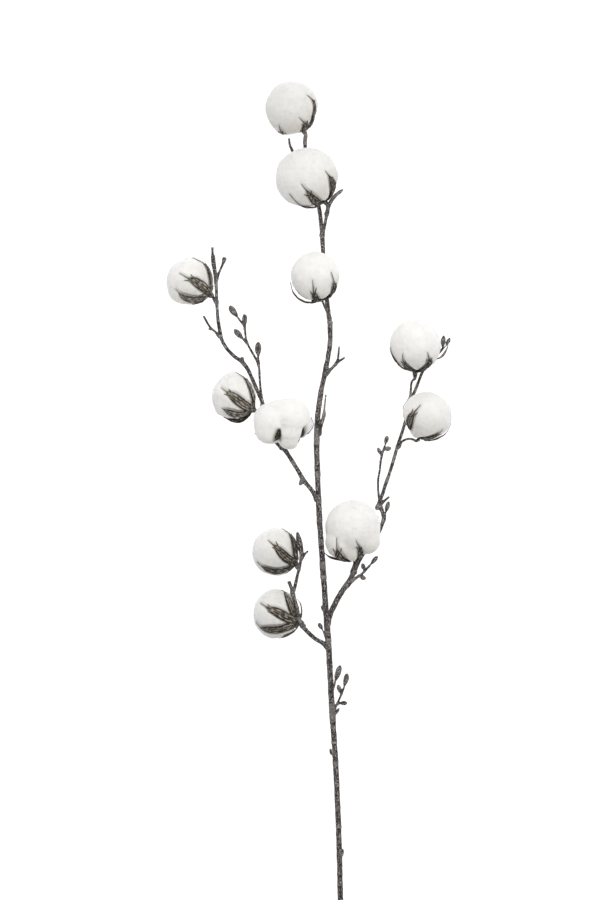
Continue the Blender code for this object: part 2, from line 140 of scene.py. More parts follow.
def piece(name, mesh, finish, nodes):
    """Scales a mesh to metres and shows it in place of these CAD nodes."""
    mesh.transform(((MM, 0, 0, 0), (0, MM, 0, 0), (0, 0, MM, 0), (0, 0, 0, 1)))
    mesh.materials.append(finish)
    mesh.shade_smooth()
    mesh.update()
    obj = placed(name, mesh)
    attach(obj, "root")
    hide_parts(*nodes)


def vertex_rows(mesh, key):
    """The "co" or the "normal" of each vertex, as an (n, 3) array."""
    rows = np.empty(len(mesh.vertices) * 3)
    mesh.vertices.foreach_get(key, rows)
    return rows.reshape(-1, 3)


def set_coordinates(mesh, places):
    mesh.vertices.foreach_set("co", places.ravel())
    mesh.update()


def tube_faces(order):
    """A closed tube's faces, from its rows of vertex numbers: quads, then a cap at each end."""
    following = np.roll(order, -1, axis=1)
    quads = np.stack([order[:-1], following[:-1], following[1:], order[1:]], axis=-1)
    return [*quads.reshape(-1, 4).tolist(), order[0, ::-1].tolist(), order[-1].tolist()]


# ---- materials

VECTOR, FACTOR = 1, 2  # outputs of an attribute node
MIXED_COLOUR = 2  # the colour output of a mix node, whose colour inputs are 6 and 7
GRAIN = (1, 1, 0.5)  # marks on bark are twice as long as they are wide
WHITE = (1, 1, 1, 1)


def tone(red, green, blue):
    """A colour given in steps of 255, as Blender's linear values."""
    return (*(((c / 255 + 0.055) / 1.055) ** 2.4 for c in (red, green, blue)), 1.0)


class Finish:
    """A Principled material with short calls that add a node and link its inputs."""

    def __init__(self, name, **sockets):
        self.material = bpy.data.materials.new(name)
        self.material.use_nodes = True
        self.tree = self.material.node_tree
        self.shader = self.tree.nodes["Principled BSDF"]
        self.finish(**sockets)

    def finish(self, **sockets):
        self.set(self.shader, {key.replace("_", " "): value for key, value in sockets.items()})
        return self.material

    def set(self, node, inputs):
        for key, value in inputs.items():
            socket = node.inputs[key]
            if isinstance(value, bpy.types.NodeSocket):
                self.tree.links.new(value, socket)
            else:
                socket.default_value = value

    def add(self, kind, inputs, output=0, **settings):
        node = self.tree.nodes.new(kind)
        for key, value in settings.items():
            setattr(node, key, value)
        self.set(node, inputs)
        return node.outputs[output]

    def attribute(self, name, output=FACTOR):
        return self.add("ShaderNodeAttribute", {}, output, attribute_name=name)

    def noise(self, place, scale, detail, roughness, stretch=None):
        if stretch is not None:
            place = self.add("ShaderNodeMapping", {"Vector": place, "Scale": stretch})
        return self.add("ShaderNodeTexNoise", {"Vector": place, "Scale": scale, "Detail": detail,
                                               "Roughness": roughness})

    def ramp(self, factor, *stops):
        """A colour ramp; each stop is its position and its colour in steps of 255."""
        output = self.add("ShaderNodeValToRGB", {"Fac": factor})
        elements = output.node.color_ramp.elements
        while len(elements) < len(stops):
            elements.new(0.5)
        for element, (position, *steps) in zip(elements, stops):
            element.position, element.color = position, tone(*steps)
        return output

    def fade(self, factor, low, high, top, bottom=0.0):
        """A number that goes from bottom to top as the factor goes from low to high."""
        return self.add("ShaderNodeMapRange", {"Value": factor, "From Min": low, "From Max": high,
                                               "To Min": bottom, "To Max": top})

    def mix(self, factor, first, second):
        return self.add("ShaderNodeMix", {0: factor, 6: first, 7: second}, MIXED_COLOUR,
                        data_type="RGBA")

    def wash(self, colour, steps, factor, low=0.0, high=1.0, top=1.0):
        """The colour, with a share `top` of a second one where the factor is at `high`."""
        return self.mix(self.fade(factor, low, high, top), colour, tone(*steps))

    def bump(self, height, distance, strength, under=None):
        inputs = {"Height": height, "Distance": distance, "Strength": strength}
        if under is not None:
            inputs["Normal"] = under
        return self.add("ShaderNodeBump", inputs)


def bark_finish():
    """Grey-brown bark: mottled along the stem, with dark hollows and frosty flecks."""
    made = Finish("bark", Specular_IOR_Level=0.3)
    place = made.attribute("grain_at", VECTOR)
    streak = made.noise(place, 0.55, 6, 0.7, GRAIN)
    colour = made.ramp(streak, (0.37, 20, 17, 17), (0.48, 50, 46, 46), (0.56, 80, 76, 75),
                       (0.66, 156, 153, 151))
    patch = made.noise(place, 0.07, 3, 0.5, GRAIN)
    colour = made.wash(colour, (112, 107, 105), patch, 0.48, 0.66, 0.4)
    blush = made.noise(place, 0.05, 2, 0.5, (1, 1, 0.7))
    colour = made.wash(colour, (98, 76, 78), blush, 0.54, 0.64, 0.25)
    pit = made.noise(place, 0.75, 2, 0.5, (1, 1, 0.7))
    colour = made.wash(colour, (26, 23, 23), pit, 0.45, 0.36, 0.8)
    fleck = made.noise(place, 0.8, 2, 0.5, (1.1, 1.1, 0.8))
    colour = made.wash(colour, (192, 188, 186), fleck, 0.56, 0.65, 0.75)
    colour = made.wash(colour, (172, 167, 164), made.attribute("frost"), 0.1, 0.9, 0.65)
    colour = made.mix(made.attribute("cut"), colour, tone(186, 168, 140))
    rough = made.fade(streak, 0.3, 0.7, top=0.7, bottom=0.92)
    fine = made.noise(place, 2.6, 3, 0.6, GRAIN)
    normal = made.bump(streak, 0.0008, 0.8)
    normal = made.bump(fine, 0.0002, 0.6, normal)
    return made.finish(Base_Color=colour, Roughness=rough, Normal=normal)


def bur_finish():
    """Dried bracts: grey-brown, pale on ribs and dark in hollows, with painted shade on edges and
    underside.
    """
    made = Finish("bur_skin", Specular_IOR_Level=0.25)
    place = made.attribute("grain_at", VECTOR)
    streak = made.noise(place, 0.8, 5, 0.7, (1.1, 0.34, 1))
    colour = made.ramp(streak, (0.35, 28, 22, 19), (0.46, 70, 63, 57), (0.54, 112, 105, 96),
                       (0.64, 188, 181, 170))
    blotch = made.noise(place, 0.22, 3, 0.5)
    colour = made.wash(colour, (104, 104, 84), blotch, 0.5, 0.7, 0.35)
    rib = made.attribute("rib")
    colour = made.wash(colour, (192, 185, 174), rib, 0.45, 1.0, 0.75)
    colour = made.wash(colour, (30, 24, 22), rib, 0.1, -0.55, 0.88)
    pit = made.noise(place, 0.7, 2, 0.5, (1, 0.6, 1))
    colour = made.wash(colour, (28, 22, 21), pit, 0.43, 0.35, 0.7)
    normal = made.bump(streak, 0.0008, 0.9)
    return made.finish(Base_Color=colour, Roughness=0.82, Normal=normal)


def lint_finish():
    """Matt white cotton that lets a little light through, with painted shade by the bracts and bur.
    """
    made = Finish("lint", Roughness=0.95, Specular_IOR_Level=0.1, Sheen_Weight=0.6,
                  Sheen_Roughness=0.6, Subsurface_Weight=0.3, Subsurface_Scale=0.005,
                  Subsurface_Radius=(1.0, 0.9, 0.8))
    place = made.add("ShaderNodeTexCoord", {}, "Object")
    cloud = made.noise(place, 110, 4, 0.6)
    colour = made.wash(tone(247, 246, 243), (252, 252, 251), cloud, 0.35, 0.7)
    # Painted shade: the lint is greyer on bolls that get less light.
    colour = made.wash(colour, (229, 229, 227), made.attribute("tint"))
    # Painted shade: darker, warmer lint near the bracts and towards the bur.
    colour = made.wash(colour, (208, 201, 190), made.attribute("packed"), top=0.8)
    # Painted shade: dark lint in the deep furrows round bracts that lie in it.
    colour = made.wash(colour, (88, 78, 66), made.attribute("stain"), top=0.9)
    wisp = made.noise(place, 420, 5, 0.7)
    curl = made.add("ShaderNodeTexWave", {"Vector": place, "Scale": 260, "Distortion": 14,
                                          "Detail": 3, "Detail Scale": 1.4}, "Fac")
    normal = made.bump(wisp, 0.0006, 0.45)
    normal = made.bump(curl, 0.0003, 0.2, normal)
    return made.finish(Base_Color=colour, Normal=normal)


# ---- bolls

CUP_START = 6.0  # bracts start this far from the base pole, in degrees
CUP_ANGLE = 19.0  # the bur is a closed cup this far from its base pole
BRACT_LIFT = 0.25  # how far a bract lies off the lint where its path doesn't say
BLUR_STEPS = (-7, -3.5, 0, 3.5, 7)  # degrees over which a bract's path is made smooth
PRONG_HALF_WIDTH = 0.45
# A blade's outline: the share of the blade's length, and the share of its half width there.
BLADE_OUTLINE = ((0, 0.62), (0.15, 0.78), (0.35, 0.95), (0.55, 1.0), (0.75, 0.93), (0.88, 0.74),
                 (0.96, 0.5), (1.02, 0.28), (1.08, 0.12), (1.15, 0))


class Bract:
    """One dried bract: its middle line over the ball, and its size in millimetres.

    The path holds (angle from the base pole, azimuth, distance off the lint) from the cup to the
    tip; azimuth 0 is uppermost. `shoulder` is the share of the length where the blade gives way
    to a hair-like prong, and `forks` are the lengths of the two prongs beside that one. Below
    `bare` degrees the lint hides the bract. `twist` turns the blade on its line, `thick` is its
    share of the usual thickness, and `shade` paints shade on it, as on a bract that lies in a
    shaded furrow; where it is negative it paints light on it, which makes it paler.
    """

    def __init__(self, path, half_width, shoulder, forks=(0, 0), bare=0.0, twist=0.0, thick=1.0,
                 shade=0.0):
        rows = [(*row, BRACT_LIFT)[:3] for row in path]
        rows.insert(0, (CUP_START, rows[0][1], BRACT_LIFT))
        self.angles, self.azimuths, self.offsets = np.array(rows, float).T
        self.reach = self.angles[-1]
        self.half_width, self.shoulder, self.forks = half_width, shoulder, forks
        self.bare, self.twist, self.thick, self.shade = bare, math.radians(twist), thick, shade

    def share(self, angle):
        return (angle - CUP_START) / (self.reach - CUP_START)

    def smooth(self, angle, values):
        total = sum(np.interp(angle + step, self.angles, values) for step in BLUR_STEPS)
        return total / len(BLUR_STEPS)

    def line(self, share):
        """Angle, azimuth and distance off the lint at these shares of the length."""
        angle = CUP_START + (self.reach - CUP_START) * np.asarray(share, float)
        return angle, self.smooth(angle, self.azimuths), self.smooth(angle, self.offsets)

    def width(self, share):
        """Half width at these shares: a broad blade, then a hair-like middle prong."""
        body = np.asarray(share, float) / self.shoulder
        blade = self.half_width * np.interp(body, *zip(*BLADE_OUTLINE))
        prong = PRONG_HALF_WIDTH * (1 - 0.5 * smoothstep(1.0, 1 / self.shoulder, body))
        return np.maximum(blade, prong)


def hidden(azimuth, reach=92, half_width=4.0):
    """A simple bract on the far side."""
    return Bract([(reach, azimuth, 0.6)], half_width, 0.68, (4, 4))


class Boll:
    """One cotton ball: its place and size are those of its CAD solid.

    `base` points from its centre to its bur. `grow` is how far its loose lint stands off the
    solid, `tint` how far painted shade greys the lint of a boll that gets less light,
    `dusk` how far painted shade darkens the lint towards the bur, `deep` how far the cup lies
    inside it, and `pale` how far painted light makes the bur paler. `bulges` hold (azimuth,
    height, width in degrees) of swellings in its outline. `puffs` hold (x, y, z, radius) of the
    locks of a lobed boll, and a lower `power` blends the locks more softly.
    """

    def __init__(self, name, base, bracts, grow, tint=0.0, dusk=0.5, deep=0.0, pale=0.0,
                 power=28, bulges=(), puffs=()):
        self.name, self.bracts, self.number = name, bracts, int(name)
        self.tint, self.dusk, self.deep, self.pale = tint, dusk, deep, pale
        self.power, self.bulges, self.puffs = power, bulges, puffs
        low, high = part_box(f"cotton_{name}")
        self.centre = np.array((low + high) / 2) / MM
        self.base = unit(np.array(base, float))
        upper = unit(np.array([0.0, 0.0, 1.0]) - self.base * self.base[2])
        skin = vertex_rows(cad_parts[f"cotton_{name}"].data, "co") / MM - self.centre
        along = skin @ self.base
        self.along = np.abs(along).max() + grow
        aside = skin - along[:, None] * self.base
        self.across = np.linalg.norm(aside, axis=1).max() + grow
        axes = np.stack([upper, np.cross(-self.base, upper), self.base])
        radii = np.array([self.across, self.across, self.along])[:, None]
        self.shrink, self.stretch = axes / radii, axes * radii

    def local(self, places):
        """Places by the centre, as shares of the radii: upwards, sideways and to the base."""
        return (places - self.centre) @ self.shrink.T

    def world(self, shares):
        return self.centre + shares @ self.stretch

    def normals(self, shares):
        """The ellipsoid's outward unit normals at these local places."""
        return unit(shares @ self.shrink)

    def swell(self, normals):
        """How far the lint stands out, or in, where these normals point."""
        total = np.zeros(normals.shape[:-1])
        for towards, height, width in self.bulges:
            towards = math.radians(towards)
            middle = (math.cos(towards), math.sin(towards), 0.0)
            apart = np.arccos(np.clip(normals @ middle, -1, 1))
            total += height * bell(apart / math.radians(width))
        return total

    def surface(self, shares, offset=0.0):
        """Places that stand `offset` off the lint in these local directions, and its normals."""
        reach = lint_radius(shares.reshape(-1, 3), self).reshape(shares.shape[:-1])
        normals = self.normals(shares)
        off = normals * (offset + self.swell(normals))[..., None]
        return self.world(shares * reach[..., None]) + off, normals

    def at(self, angle, azimuth, offset=0.0):
        """Places `offset` off the lint, at angles from the base pole and round the axis."""
        angle, turn, offset = np.broadcast_arrays(np.radians(angle), np.radians(azimuth), offset)
        shares = np.stack([np.sin(angle) * np.cos(turn), np.sin(angle) * np.sin(turn),
                           np.cos(angle)], axis=-1)
        return self.surface(shares, offset)[0]

    def stalk_end(self, beyond):
        """A point on the axis, `beyond` where the CAD stalk ends."""
        return self.centre + self.base * (self.along + 0.028 * self.across + 0.9 + beyond)


BOLLS = {boll.name: boll for boll in (
    Boll("01", (0.4, -0.75, -0.53), [
        Bract([(43, 6), (70, 9), (92, 2, 0.5)], 4.4, 0.72, (4, 5)),
        Bract([(60, 33), (78, 44), (88, 55), (98, 57), (117, 53)], 3.3, 0.82, (2, 3)),
        Bract([(34, -40, 0.6), (47, -53, 0.6), (60, -60), (71, -55), (90, -47, 0.5)],
              3.2, 0.72, (4, 4), bare=54),
        hidden(150), hidden(236, 88)],
        grow=0.3, tint=0.95, dusk=1.35,
        bulges=[(115, 0.8, 22), (247, 2.4, 17), (340, -1.2, 16), (94, 0.8, 5)]),
    Boll("02", (0.55, -0.7, -0.46), [
        Bract([(41, -20), (64, -17), (92, -16), (111, -18)], 4.4, 0.8, (5, 4)),
        Bract([(30, 32, 0.9), (47, 37, 0.7), (66, 36), (82, 36), (99.5, 36)], 5.4, 0.8, (2, 2.5)),
        Bract([(40, -40, 0.8), (51, -46, 0.8), (66, -51), (81, -53), (94, -53), (102, -52)],
              3.4, 0.62),
        hidden(115, 94, 4.4), hidden(210, 92, 4.4)],
        grow=0.5, tint=0.7, dusk=0.9, bulges=[(150, 1.9, 20), (5, 1.8, 14), (255, -0.8, 12)]),
    Boll("03", (0.12, -0.98, -0.1), [
        Bract([(31, -10), (49, -11), (65, -9), (86, -7)], 3.1, 0.58, (6, 7)),
        Bract([(30, 79, 0.5), (45, 75, 0.5), (60, 60), (71, 53), (82, 48), (98, 42)],
              4.6, 0.7, (3, 3)),
        hidden(125), hidden(205, 90),
        Bract([(14, -65, 1), (24, -76, 2.1), (34, -81, 2.8), (46, -84, 3.2), (58, -86, 3),
               (69, -88, 2.3), (84, -89, 0.9)], 3.8, 0.75, thick=1.5)],
        grow=0.5, tint=0.1),
    Boll("04", (0.8, -0.54, 0.25), [
        Bract([(29, 11), (48, 8), (64, 7), (76, 3), (89, 2), (108, 1)], 4.7, 0.69, (5, 5)),
        Bract([(28, 69), (46, 68), (63, 73), (76, 73), (91, 68), (111, 66)], 3.3, 0.67, (3, 3)),
        hidden(150, 94), hidden(235, 92),
        Bract([(33, -64), (49, -58), (65, -52), (79, -47), (88, -41), (96, -35)], 5.2, 0.8)],
        grow=1, tint=0.1, pale=0.4, bulges=[(80, 0.8, 20), (225, 1.4, 18)]),
    Boll("05", (0.81, -0.53, 0.25), [
        Bract([(35, -5), (55, -2), (72, 0), (89, 1), (104, 1), (120, 3)], 4.8, 0.76, (4, 4)),
        Bract([(25, 64), (50, 61), (68, 67), (82, 71), (100, 73), (118, 77)], 3.7, 0.7, (3, 3)),
        hidden(160),
        Bract([(26, -123, 1.4), (38, -109, 2.2), (49, -103, 2.5), (60, -99, 1.8), (69, -93, 1),
               (78, -82, 0.5)], 3.4, 0.9, twist=-45, thick=1.2, shade=-0.2),
        Bract([(29, -60), (49, -58), (66, -49), (79, -46), (88, -44)], 5, 0.88)],
        grow=0.8, tint=0.1, pale=0.35, bulges=[(98, 3.6, 30), (222, 1.2, 11)]),
    Boll("06", (0.02, -0.8, -0.6), [
        Bract([(46, -26, -2.8), (70, -18, -2.8), (86, -16, -2.8), (110, -15, -2.8)],
              2.9, 0.93, bare=58, shade=0.9),
        Bract([(56, 48, -2.4), (70, 54, -2.4), (84, 58, -2.4), (100, 62, -2.4)],
              3.4, 0.93, bare=50, shade=0.9),
        Bract([(58, 74), (73, 76, 0.3), (84, 84, 0.3), (94, 90, 0.3), (104, 92, 0.3)],
              1.8, 0.8, bare=66, shade=-0.3),
        hidden(190, 76), hidden(280, 76)],
        grow=0, deep=4, power=24,
        puffs=[(0, 1, -2, 19.5), (8.2, 7.5, 5, 18.8), (-3, 9, 4, 16), (-11, 3.5, 3, 18.2),
               (-13, -5.5, 3, 15.2), (6.5, -14.5, 4, 11.3), (7, -6, 6, 14), (20, 0.5, 0, 9.8),
               (16, -6, 2, 9.5), (2, 2, -9, 19)]),
    Boll("07", (-0.02, -0.95, -0.3), [
        Bract([(36, -24), (49, -31), (61, -33), (75, -32), (85, -31)], 4.4, 0.7, (3, 5)),
        Bract([(26, 36), (46, 37), (56, 42), (69, 35), (79, 30), (90, 26)], 4.8, 0.75, (4, 5)),
        Bract([(36, 92), (48, 90), (60, 84, 0.7), (71, 82, 3.2), (82, 81, 5), (89, 85, 6.2),
               (98, 86, 7.6)], 2.2, 0.9, bare=60, twist=40, thick=0.8, shade=-1.3),
        hidden(180), Bract([(41, -62), (57, -66), (68, -70), (80, -74), (89, -76)], 3.2, 0.8)],
        grow=0.4, tint=0.1, bulges=[(135, 0.5, 15), (190, 0.8, 14)]),
    Boll("08", (-0.33, -0.94, -0.05), [
        Bract([(30, -66), (44, -54), (56, -45), (66, -41), (77, -38), (88, -33), (98, -29),
               (111, -24)], 4.9, 0.78, (5, 5), bare=36),
        Bract([(25, 34), (35, 45), (45, 50), (57, 53), (68, 53), (74, 56)], 4.2, 0.75, (4, 4)),
        Bract([(42, 90, 0.4), (57, 88, 0.9), (69, 89, 1.1), (83, 90, 0.8), (93, 90, 0.5)], 3, 0.7),
        hidden(180),
        Bract([(60, -98), (82, -97), (93, -93), (103, -91), (113, -90)], 3, 0.75, bare=84)],
        grow=1.2, tint=0.35, deep=1.2, bulges=[(92, 0.5, 20), (207, -3.2, 24)]),
    Boll("09", (0.12, -0.94, -0.33), [
        Bract([(21, 18), (35, 18), (50, 15), (64, 13), (75, 9), (86, 4)], 3, 0.72, (5, 4)),
        hidden(118), hidden(190),
        Bract([(28, -46, 0.3), (33, -56, 0.9), (37, -66, 1.5), (44, -70, 2.1), (52, -73, 2.7),
               (62, -76, 4)], 3, 0.85, thick=1.3),
        Bract([(26, -42), (44, -40), (58, -38), (68, -36), (79, -36), (93, -38)],
              4.3, 0.72, (5, 5))],
        grow=0.3, tint=0.15, dusk=0.7, power=24,
        puffs=[(1, 2.5, 0, 27.2), (-11, -12.5, 5, 15.8), (14.5, -10, 5, 13.6), (-1, -17, 3, 14),
               (0, 0, -4, 26)]),
    Boll("10", (0.83, -0.51, 0.22), [
        Bract([(42, 2), (58, 5), (73, 9), (85, 12), (95, 12), (109, 16)], 4.5, 0.76, (3, 5)),
        Bract([(27, 54), (47, 61), (62, 71), (75, 72), (91, 76), (108, 85, 0.8)],
              4.8, 0.68, (3, 3)),
        hidden(155, 94), hidden(230),
        Bract([(27, -58), (43, -60), (58, -61), (73, -59), (87, -56), (98, -55), (109, -53)],
              4.7, 0.8)],
        grow=0.6, tint=0.5, pale=0.05, bulges=[(275, 1, 26)]),
    Boll("11", (0.91, -0.32, 0.25), [
        Bract([(43, 1), (58, 3), (75, 6), (88, 7), (100, 7), (113, 11), (129, 16)],
              4.8, 0.76, (3, 4)),
        Bract([(29, 26), (45, 35), (59, 46), (72, 57), (82, 67), (93, 76)], 4.4, 0.86),
        Bract([(32, 115, 1.1), (43, 106, 1.7), (52, 102, 1.3), (59, 99, 0.8)], 3, 0.8), hidden(195),
        Bract([(22, -125), (33, -109), (42, -95), (51, -88), (64, -93)], 4.6, 0.88),
        Bract([(39, -31), (54, -39), (71, -42), (89, -45), (103, -49), (114, -49), (125, -43)],
              5, 0.82)],
        grow=1, tint=0.6, pale=0.2, bulges=[(105, 0.8, 32)]),
)}


FLOOR_GAP = 0.05  # outer surfaces stay this far above the floor
FLOOR_SOFT = 0.6  # and are pressed flat within this height over that


def floor_clear(places, gap=FLOOR_GAP):
    """Places kept on or above the floor, as what rests there is pressed flat."""
    over = places[:, 2] - gap - FLOOR_SOFT
    places[:, 2] = np.where(over < 0, gap + FLOOR_SOFT * np.exp(over / FLOOR_SOFT), places[:, 2])
    return places


def flat_strand(boll, soup, line, half_width, thickness, offset, seed, columns=15, ribs=3.6,
                twist=0.0, dark=0.0):
    """A thin closed blade that follows the lint: line is an (n, 3) array of places on or by it."""
    heading = unit(np.gradient(line, axis=0))
    across = unit(np.cross(boll.normals(boll.local(line)), heading))
    spread = np.cos(np.linspace(0, np.pi, columns))
    spread = np.sign(spread) * np.abs(spread) ** 0.8
    rows = len(line)
    sideways = spread[None, :] * half_width[:, None]
    flat = line[:, None] + across[:, None] * (sideways * math.cos(twist))[:, :, None]
    ground, normal = boll.surface(unit(boll.local(flat.reshape(-1, 3))))
    lengthways = np.repeat(lengths(line), columns)
    grain = np.stack([sideways.ravel(), lengthways, np.full(rows * columns, seed * 31.7)], axis=1)
    wander = noise(grain * (0.2, 0.2, 1), seed) * 2.2
    rib = np.cos(np.tile(spread, rows) * np.pi * ribs + wander)
    rib = rib * 0.75 + 0.65 * noise(grain * (0.8, 0.5, 1), seed + 5)
    crumple = noise(grain * (0.35, 0.3, 1), seed + 9)
    edge = 1 - np.tile(np.abs(spread), rows) ** 4
    width = np.repeat(half_width, columns)
    low = np.exp(-lengthways / 9)
    relief = np.minimum(width / 3.5, 1) * (0.36 * rib * edge + (0.42 + 0.4 * low) * crumple)
    thick = np.repeat(thickness, columns) * (0.35 + 0.65 * edge)
    lift = np.repeat(offset, columns) + relief + sideways.ravel() * math.sin(twist)
    outer = floor_clear(ground + normal * (lift + thick)[:, None])
    inner = floor_clear(ground + normal * lift[:, None], gap=0.0)

    def both_sides(outside, inside):
        """Rows that cross the blade on its outer side and come back on its inner side."""
        grid = (rows, columns, -1)
        return np.concatenate([outside.reshape(grid), inside.reshape(grid)[:, ::-1]], axis=1)

    # Painted shade: the blade is darker towards its edges and on its inner side, and `dark` darkens
    # it further, or makes it paler where it is negative.
    rib = rib - 0.9 * (1 - edge) - dark
    soup.add(both_sides(outer, inner), tube_faces(np.arange(rows * columns * 2).reshape(rows, -1)),
             rib=both_sides(rib, rib - 0.8).ravel(),
             grain_at=both_sides(grain, grain).reshape(-1, 3))


SUNK = 2.6  # how far the hidden part of a bract lies in the lint
BLADE_ROWS = np.concatenate([np.linspace(0, 0.9, 22), np.linspace(0.94, 1.12, 7)])
PRONG_ROWS = 5
FORK_ROWS = 9


def bur(boll, finish):
    """The dried bur: a wrinkled cup that splits into bracts with hair-like prongs."""
    soup = Soup()
    rng = np.random.default_rng(100 + boll.number)
    for number, bract in enumerate(boll.bracts):
        seed = boll.number * 20 + number * 3
        blade = BLADE_ROWS * bract.shoulder
        prong = np.linspace(max(1.18 * bract.shoulder, 0.99), 1, PRONG_ROWS)
        share = np.concatenate([blade[blade < 0.99], prong])
        angle, azimuth, lift = bract.line(share)
        lift = lift - SUNK * (1 - smoothstep(bract.bare - 5, bract.bare + 6, angle))
        lift -= boll.deep * (angle < CUP_ANGLE)
        thickness = (0.85 - 0.4 * smoothstep(0.9, 1.15, share / bract.shoulder)) * bract.thick
        width = bract.width(share)
        if bract.bare > 0:
            width = width * (1 - 0.65 * (1 - smoothstep(bract.bare, bract.bare + 22, angle)))
        # Painted shade from the bract's `shade` (painted light where it is negative), less the
        # boll's `pale`, which is painted light on a well-lit bur.
        flat_strand(boll, soup, boll.at(angle, azimuth), width, thickness, lift, seed,
                    twist=bract.twist, dark=bract.shade - boll.pale)
        length = math.radians(bract.reach - CUP_START) * boll.along
        for hand, fork in zip((-1, 1), bract.forks):
            if not fork:
                continue
            start = bract.shoulder * rng.uniform(0.9, 0.97)
            gone = np.linspace(0, 1, FORK_ROWS)
            share = start + gone * fork * rng.uniform(0.85, 1.15) / length
            angle, azimuth, lift = bract.line(share)
            out = bract.width(start) * 0.7 + gone * fork * rng.uniform(0.3, 0.5)
            azimuth = azimuth + hand * np.degrees(out / (boll.across * np.sin(np.radians(angle))))
            flat_strand(boll, soup, boll.at(angle, azimuth), 0.62 - 0.3 * gone,
                        np.full(FORK_ROWS, 0.45), lift + 0.1 + 0.5 * gone**2, seed + 1,
                        columns=4, ribs=0.5)
    cup(boll, soup)
    name = f"bracts_{boll.name}"
    piece(name, soup.mesh(name), finish, [f"bur_{boll.name}"])


def cup(boll, soup, columns=60, rows=8):
    """The closed base of the bur, with a scalloped edge and wrinkles that run to the stalk."""
    seed = boll.number * 20 + 19
    azimuth = np.arange(columns) * 360 / columns
    where = np.stack([azimuth / 18, np.zeros(columns), np.full(columns, seed)], axis=1)
    edge = CUP_ANGLE + 3.0 * noise(where, seed)
    share = np.linspace(0.05, 1, rows)[:, None]
    turn = np.radians(np.broadcast_to(azimuth, (rows, columns)))
    grain = np.stack([np.sin(turn) * 4, share * 6 + turn * 0, np.cos(turn) * 4], axis=-1)
    grain = grain.reshape(-1, 3)
    wander = noise(grain * 0.4, seed).reshape(rows, columns) * 3
    rib = np.cos(turn * 13 + wander)
    relief = 0.6 + 0.25 * rib * share + 0.5 * (1 - share) ** 2
    outer = boll.at(share * edge, azimuth, relief - boll.deep)
    inner = boll.at(share * edge, azimuth, -0.2 - boll.deep)
    order = np.arange(2 * rows * columns).reshape(2, rows, columns)
    order = np.concatenate([order[0], order[1, ::-1]])[:, ::-1]
    # Painted shade: the cup is darker on its inner side, and the bur's `pale` lightens it.
    rib = rib.ravel() + 0.25 + boll.pale
    soup.add(floor_clear(np.concatenate([outer.reshape(-1, 3), inner.reshape(-1, 3)])),
             tube_faces(order), rib=np.concatenate([rib, rib - 1]),
             grain_at=np.concatenate([grain, grain]))


def puffs(boll):
    """Centres and radii of the round locks of lint, as local shares of the ball's radius."""
    if boll.puffs:
        return [(boll.local(boll.centre + np.array(place, float)), radius / boll.across)
                for *place, radius in boll.puffs]
    found = [(np.zeros(3), 0.985)]
    azimuths = sorted(bract.azimuths[-1] % 360 for bract in boll.bracts)
    for here, there in zip(azimuths, azimuths[1:] + [azimuths[0] + 360]):
        middle = math.radians((here + there) / 2)
        found.append((np.array((0.2 * math.cos(middle), 0.2 * math.sin(middle), -0.03)), 0.815))
    return found


LEAST_REACH = 0.05


def lint_radius(directions, boll):
    """How far the lint reaches in each local direction, as a share of the ball's radius."""
    total = 0
    for centre, radius in puffs(boll):
        along = directions @ centre
        inside = radius**2 - centre @ centre + along**2
        reach = np.where(inside > 0, along + np.sqrt(np.maximum(inside, 0)), LEAST_REACH)
        total = total + np.maximum(reach, LEAST_REACH) ** boll.power
    return total ** (1 / boll.power)


FURROW = 2.6  # how far beside a bract the lint is still pressed in
WIDE_FURROW = 5.0  # the same for a bract that lies in the lint
PRESS_DEPTH = 1.5


def pole_angle(directions):
    """How far each local direction is from the base pole, in degrees."""
    return np.degrees(np.arccos(np.clip(directions[:, 2], -1, 1)))


def bract_press(boll, directions):
    """How hard a bract presses in each local direction: 1 or more under it, 0 beside it."""
    angle = pole_angle(directions)
    azimuth = np.degrees(np.arctan2(directions[:, 1], directions[:, 0]))
    press = (1 - smoothstep(CUP_ANGLE - 2, CUP_ANGLE + 5, angle)) * (boll.deep == 0)
    for bract in boll.bracts:
        share = bract.share(angle)
        within = np.clip(share, 0, 1)
        _, middle, lift = bract.line(within)
        turn = (azimuth - middle + 180) % 360 - 180
        aside = np.abs(turn) * np.pi / 180 * boll.across * np.sin(np.radians(angle))
        beyond = np.maximum(share - 1, 0) * np.radians(bract.reach) * boll.along
        apart = np.hypot(np.maximum(aside - bract.width(within), 0), beyond * 1.5)
        near = 1 - smoothstep(0.2, WIDE_FURROW if bract.offsets.min() < -1 else FURROW, apart)
        near *= 1 - 0.5 * smoothstep(bract.shoulder, 1, share)
        near *= smoothstep(bract.bare - 7, bract.bare + 4, angle)
        near *= 1 - 0.7 * smoothstep(1.0, 2.5, lift)
        near = near * (1 + np.maximum(-lift, 0) / 1.5)
        press = np.maximum(press, near)
    return press


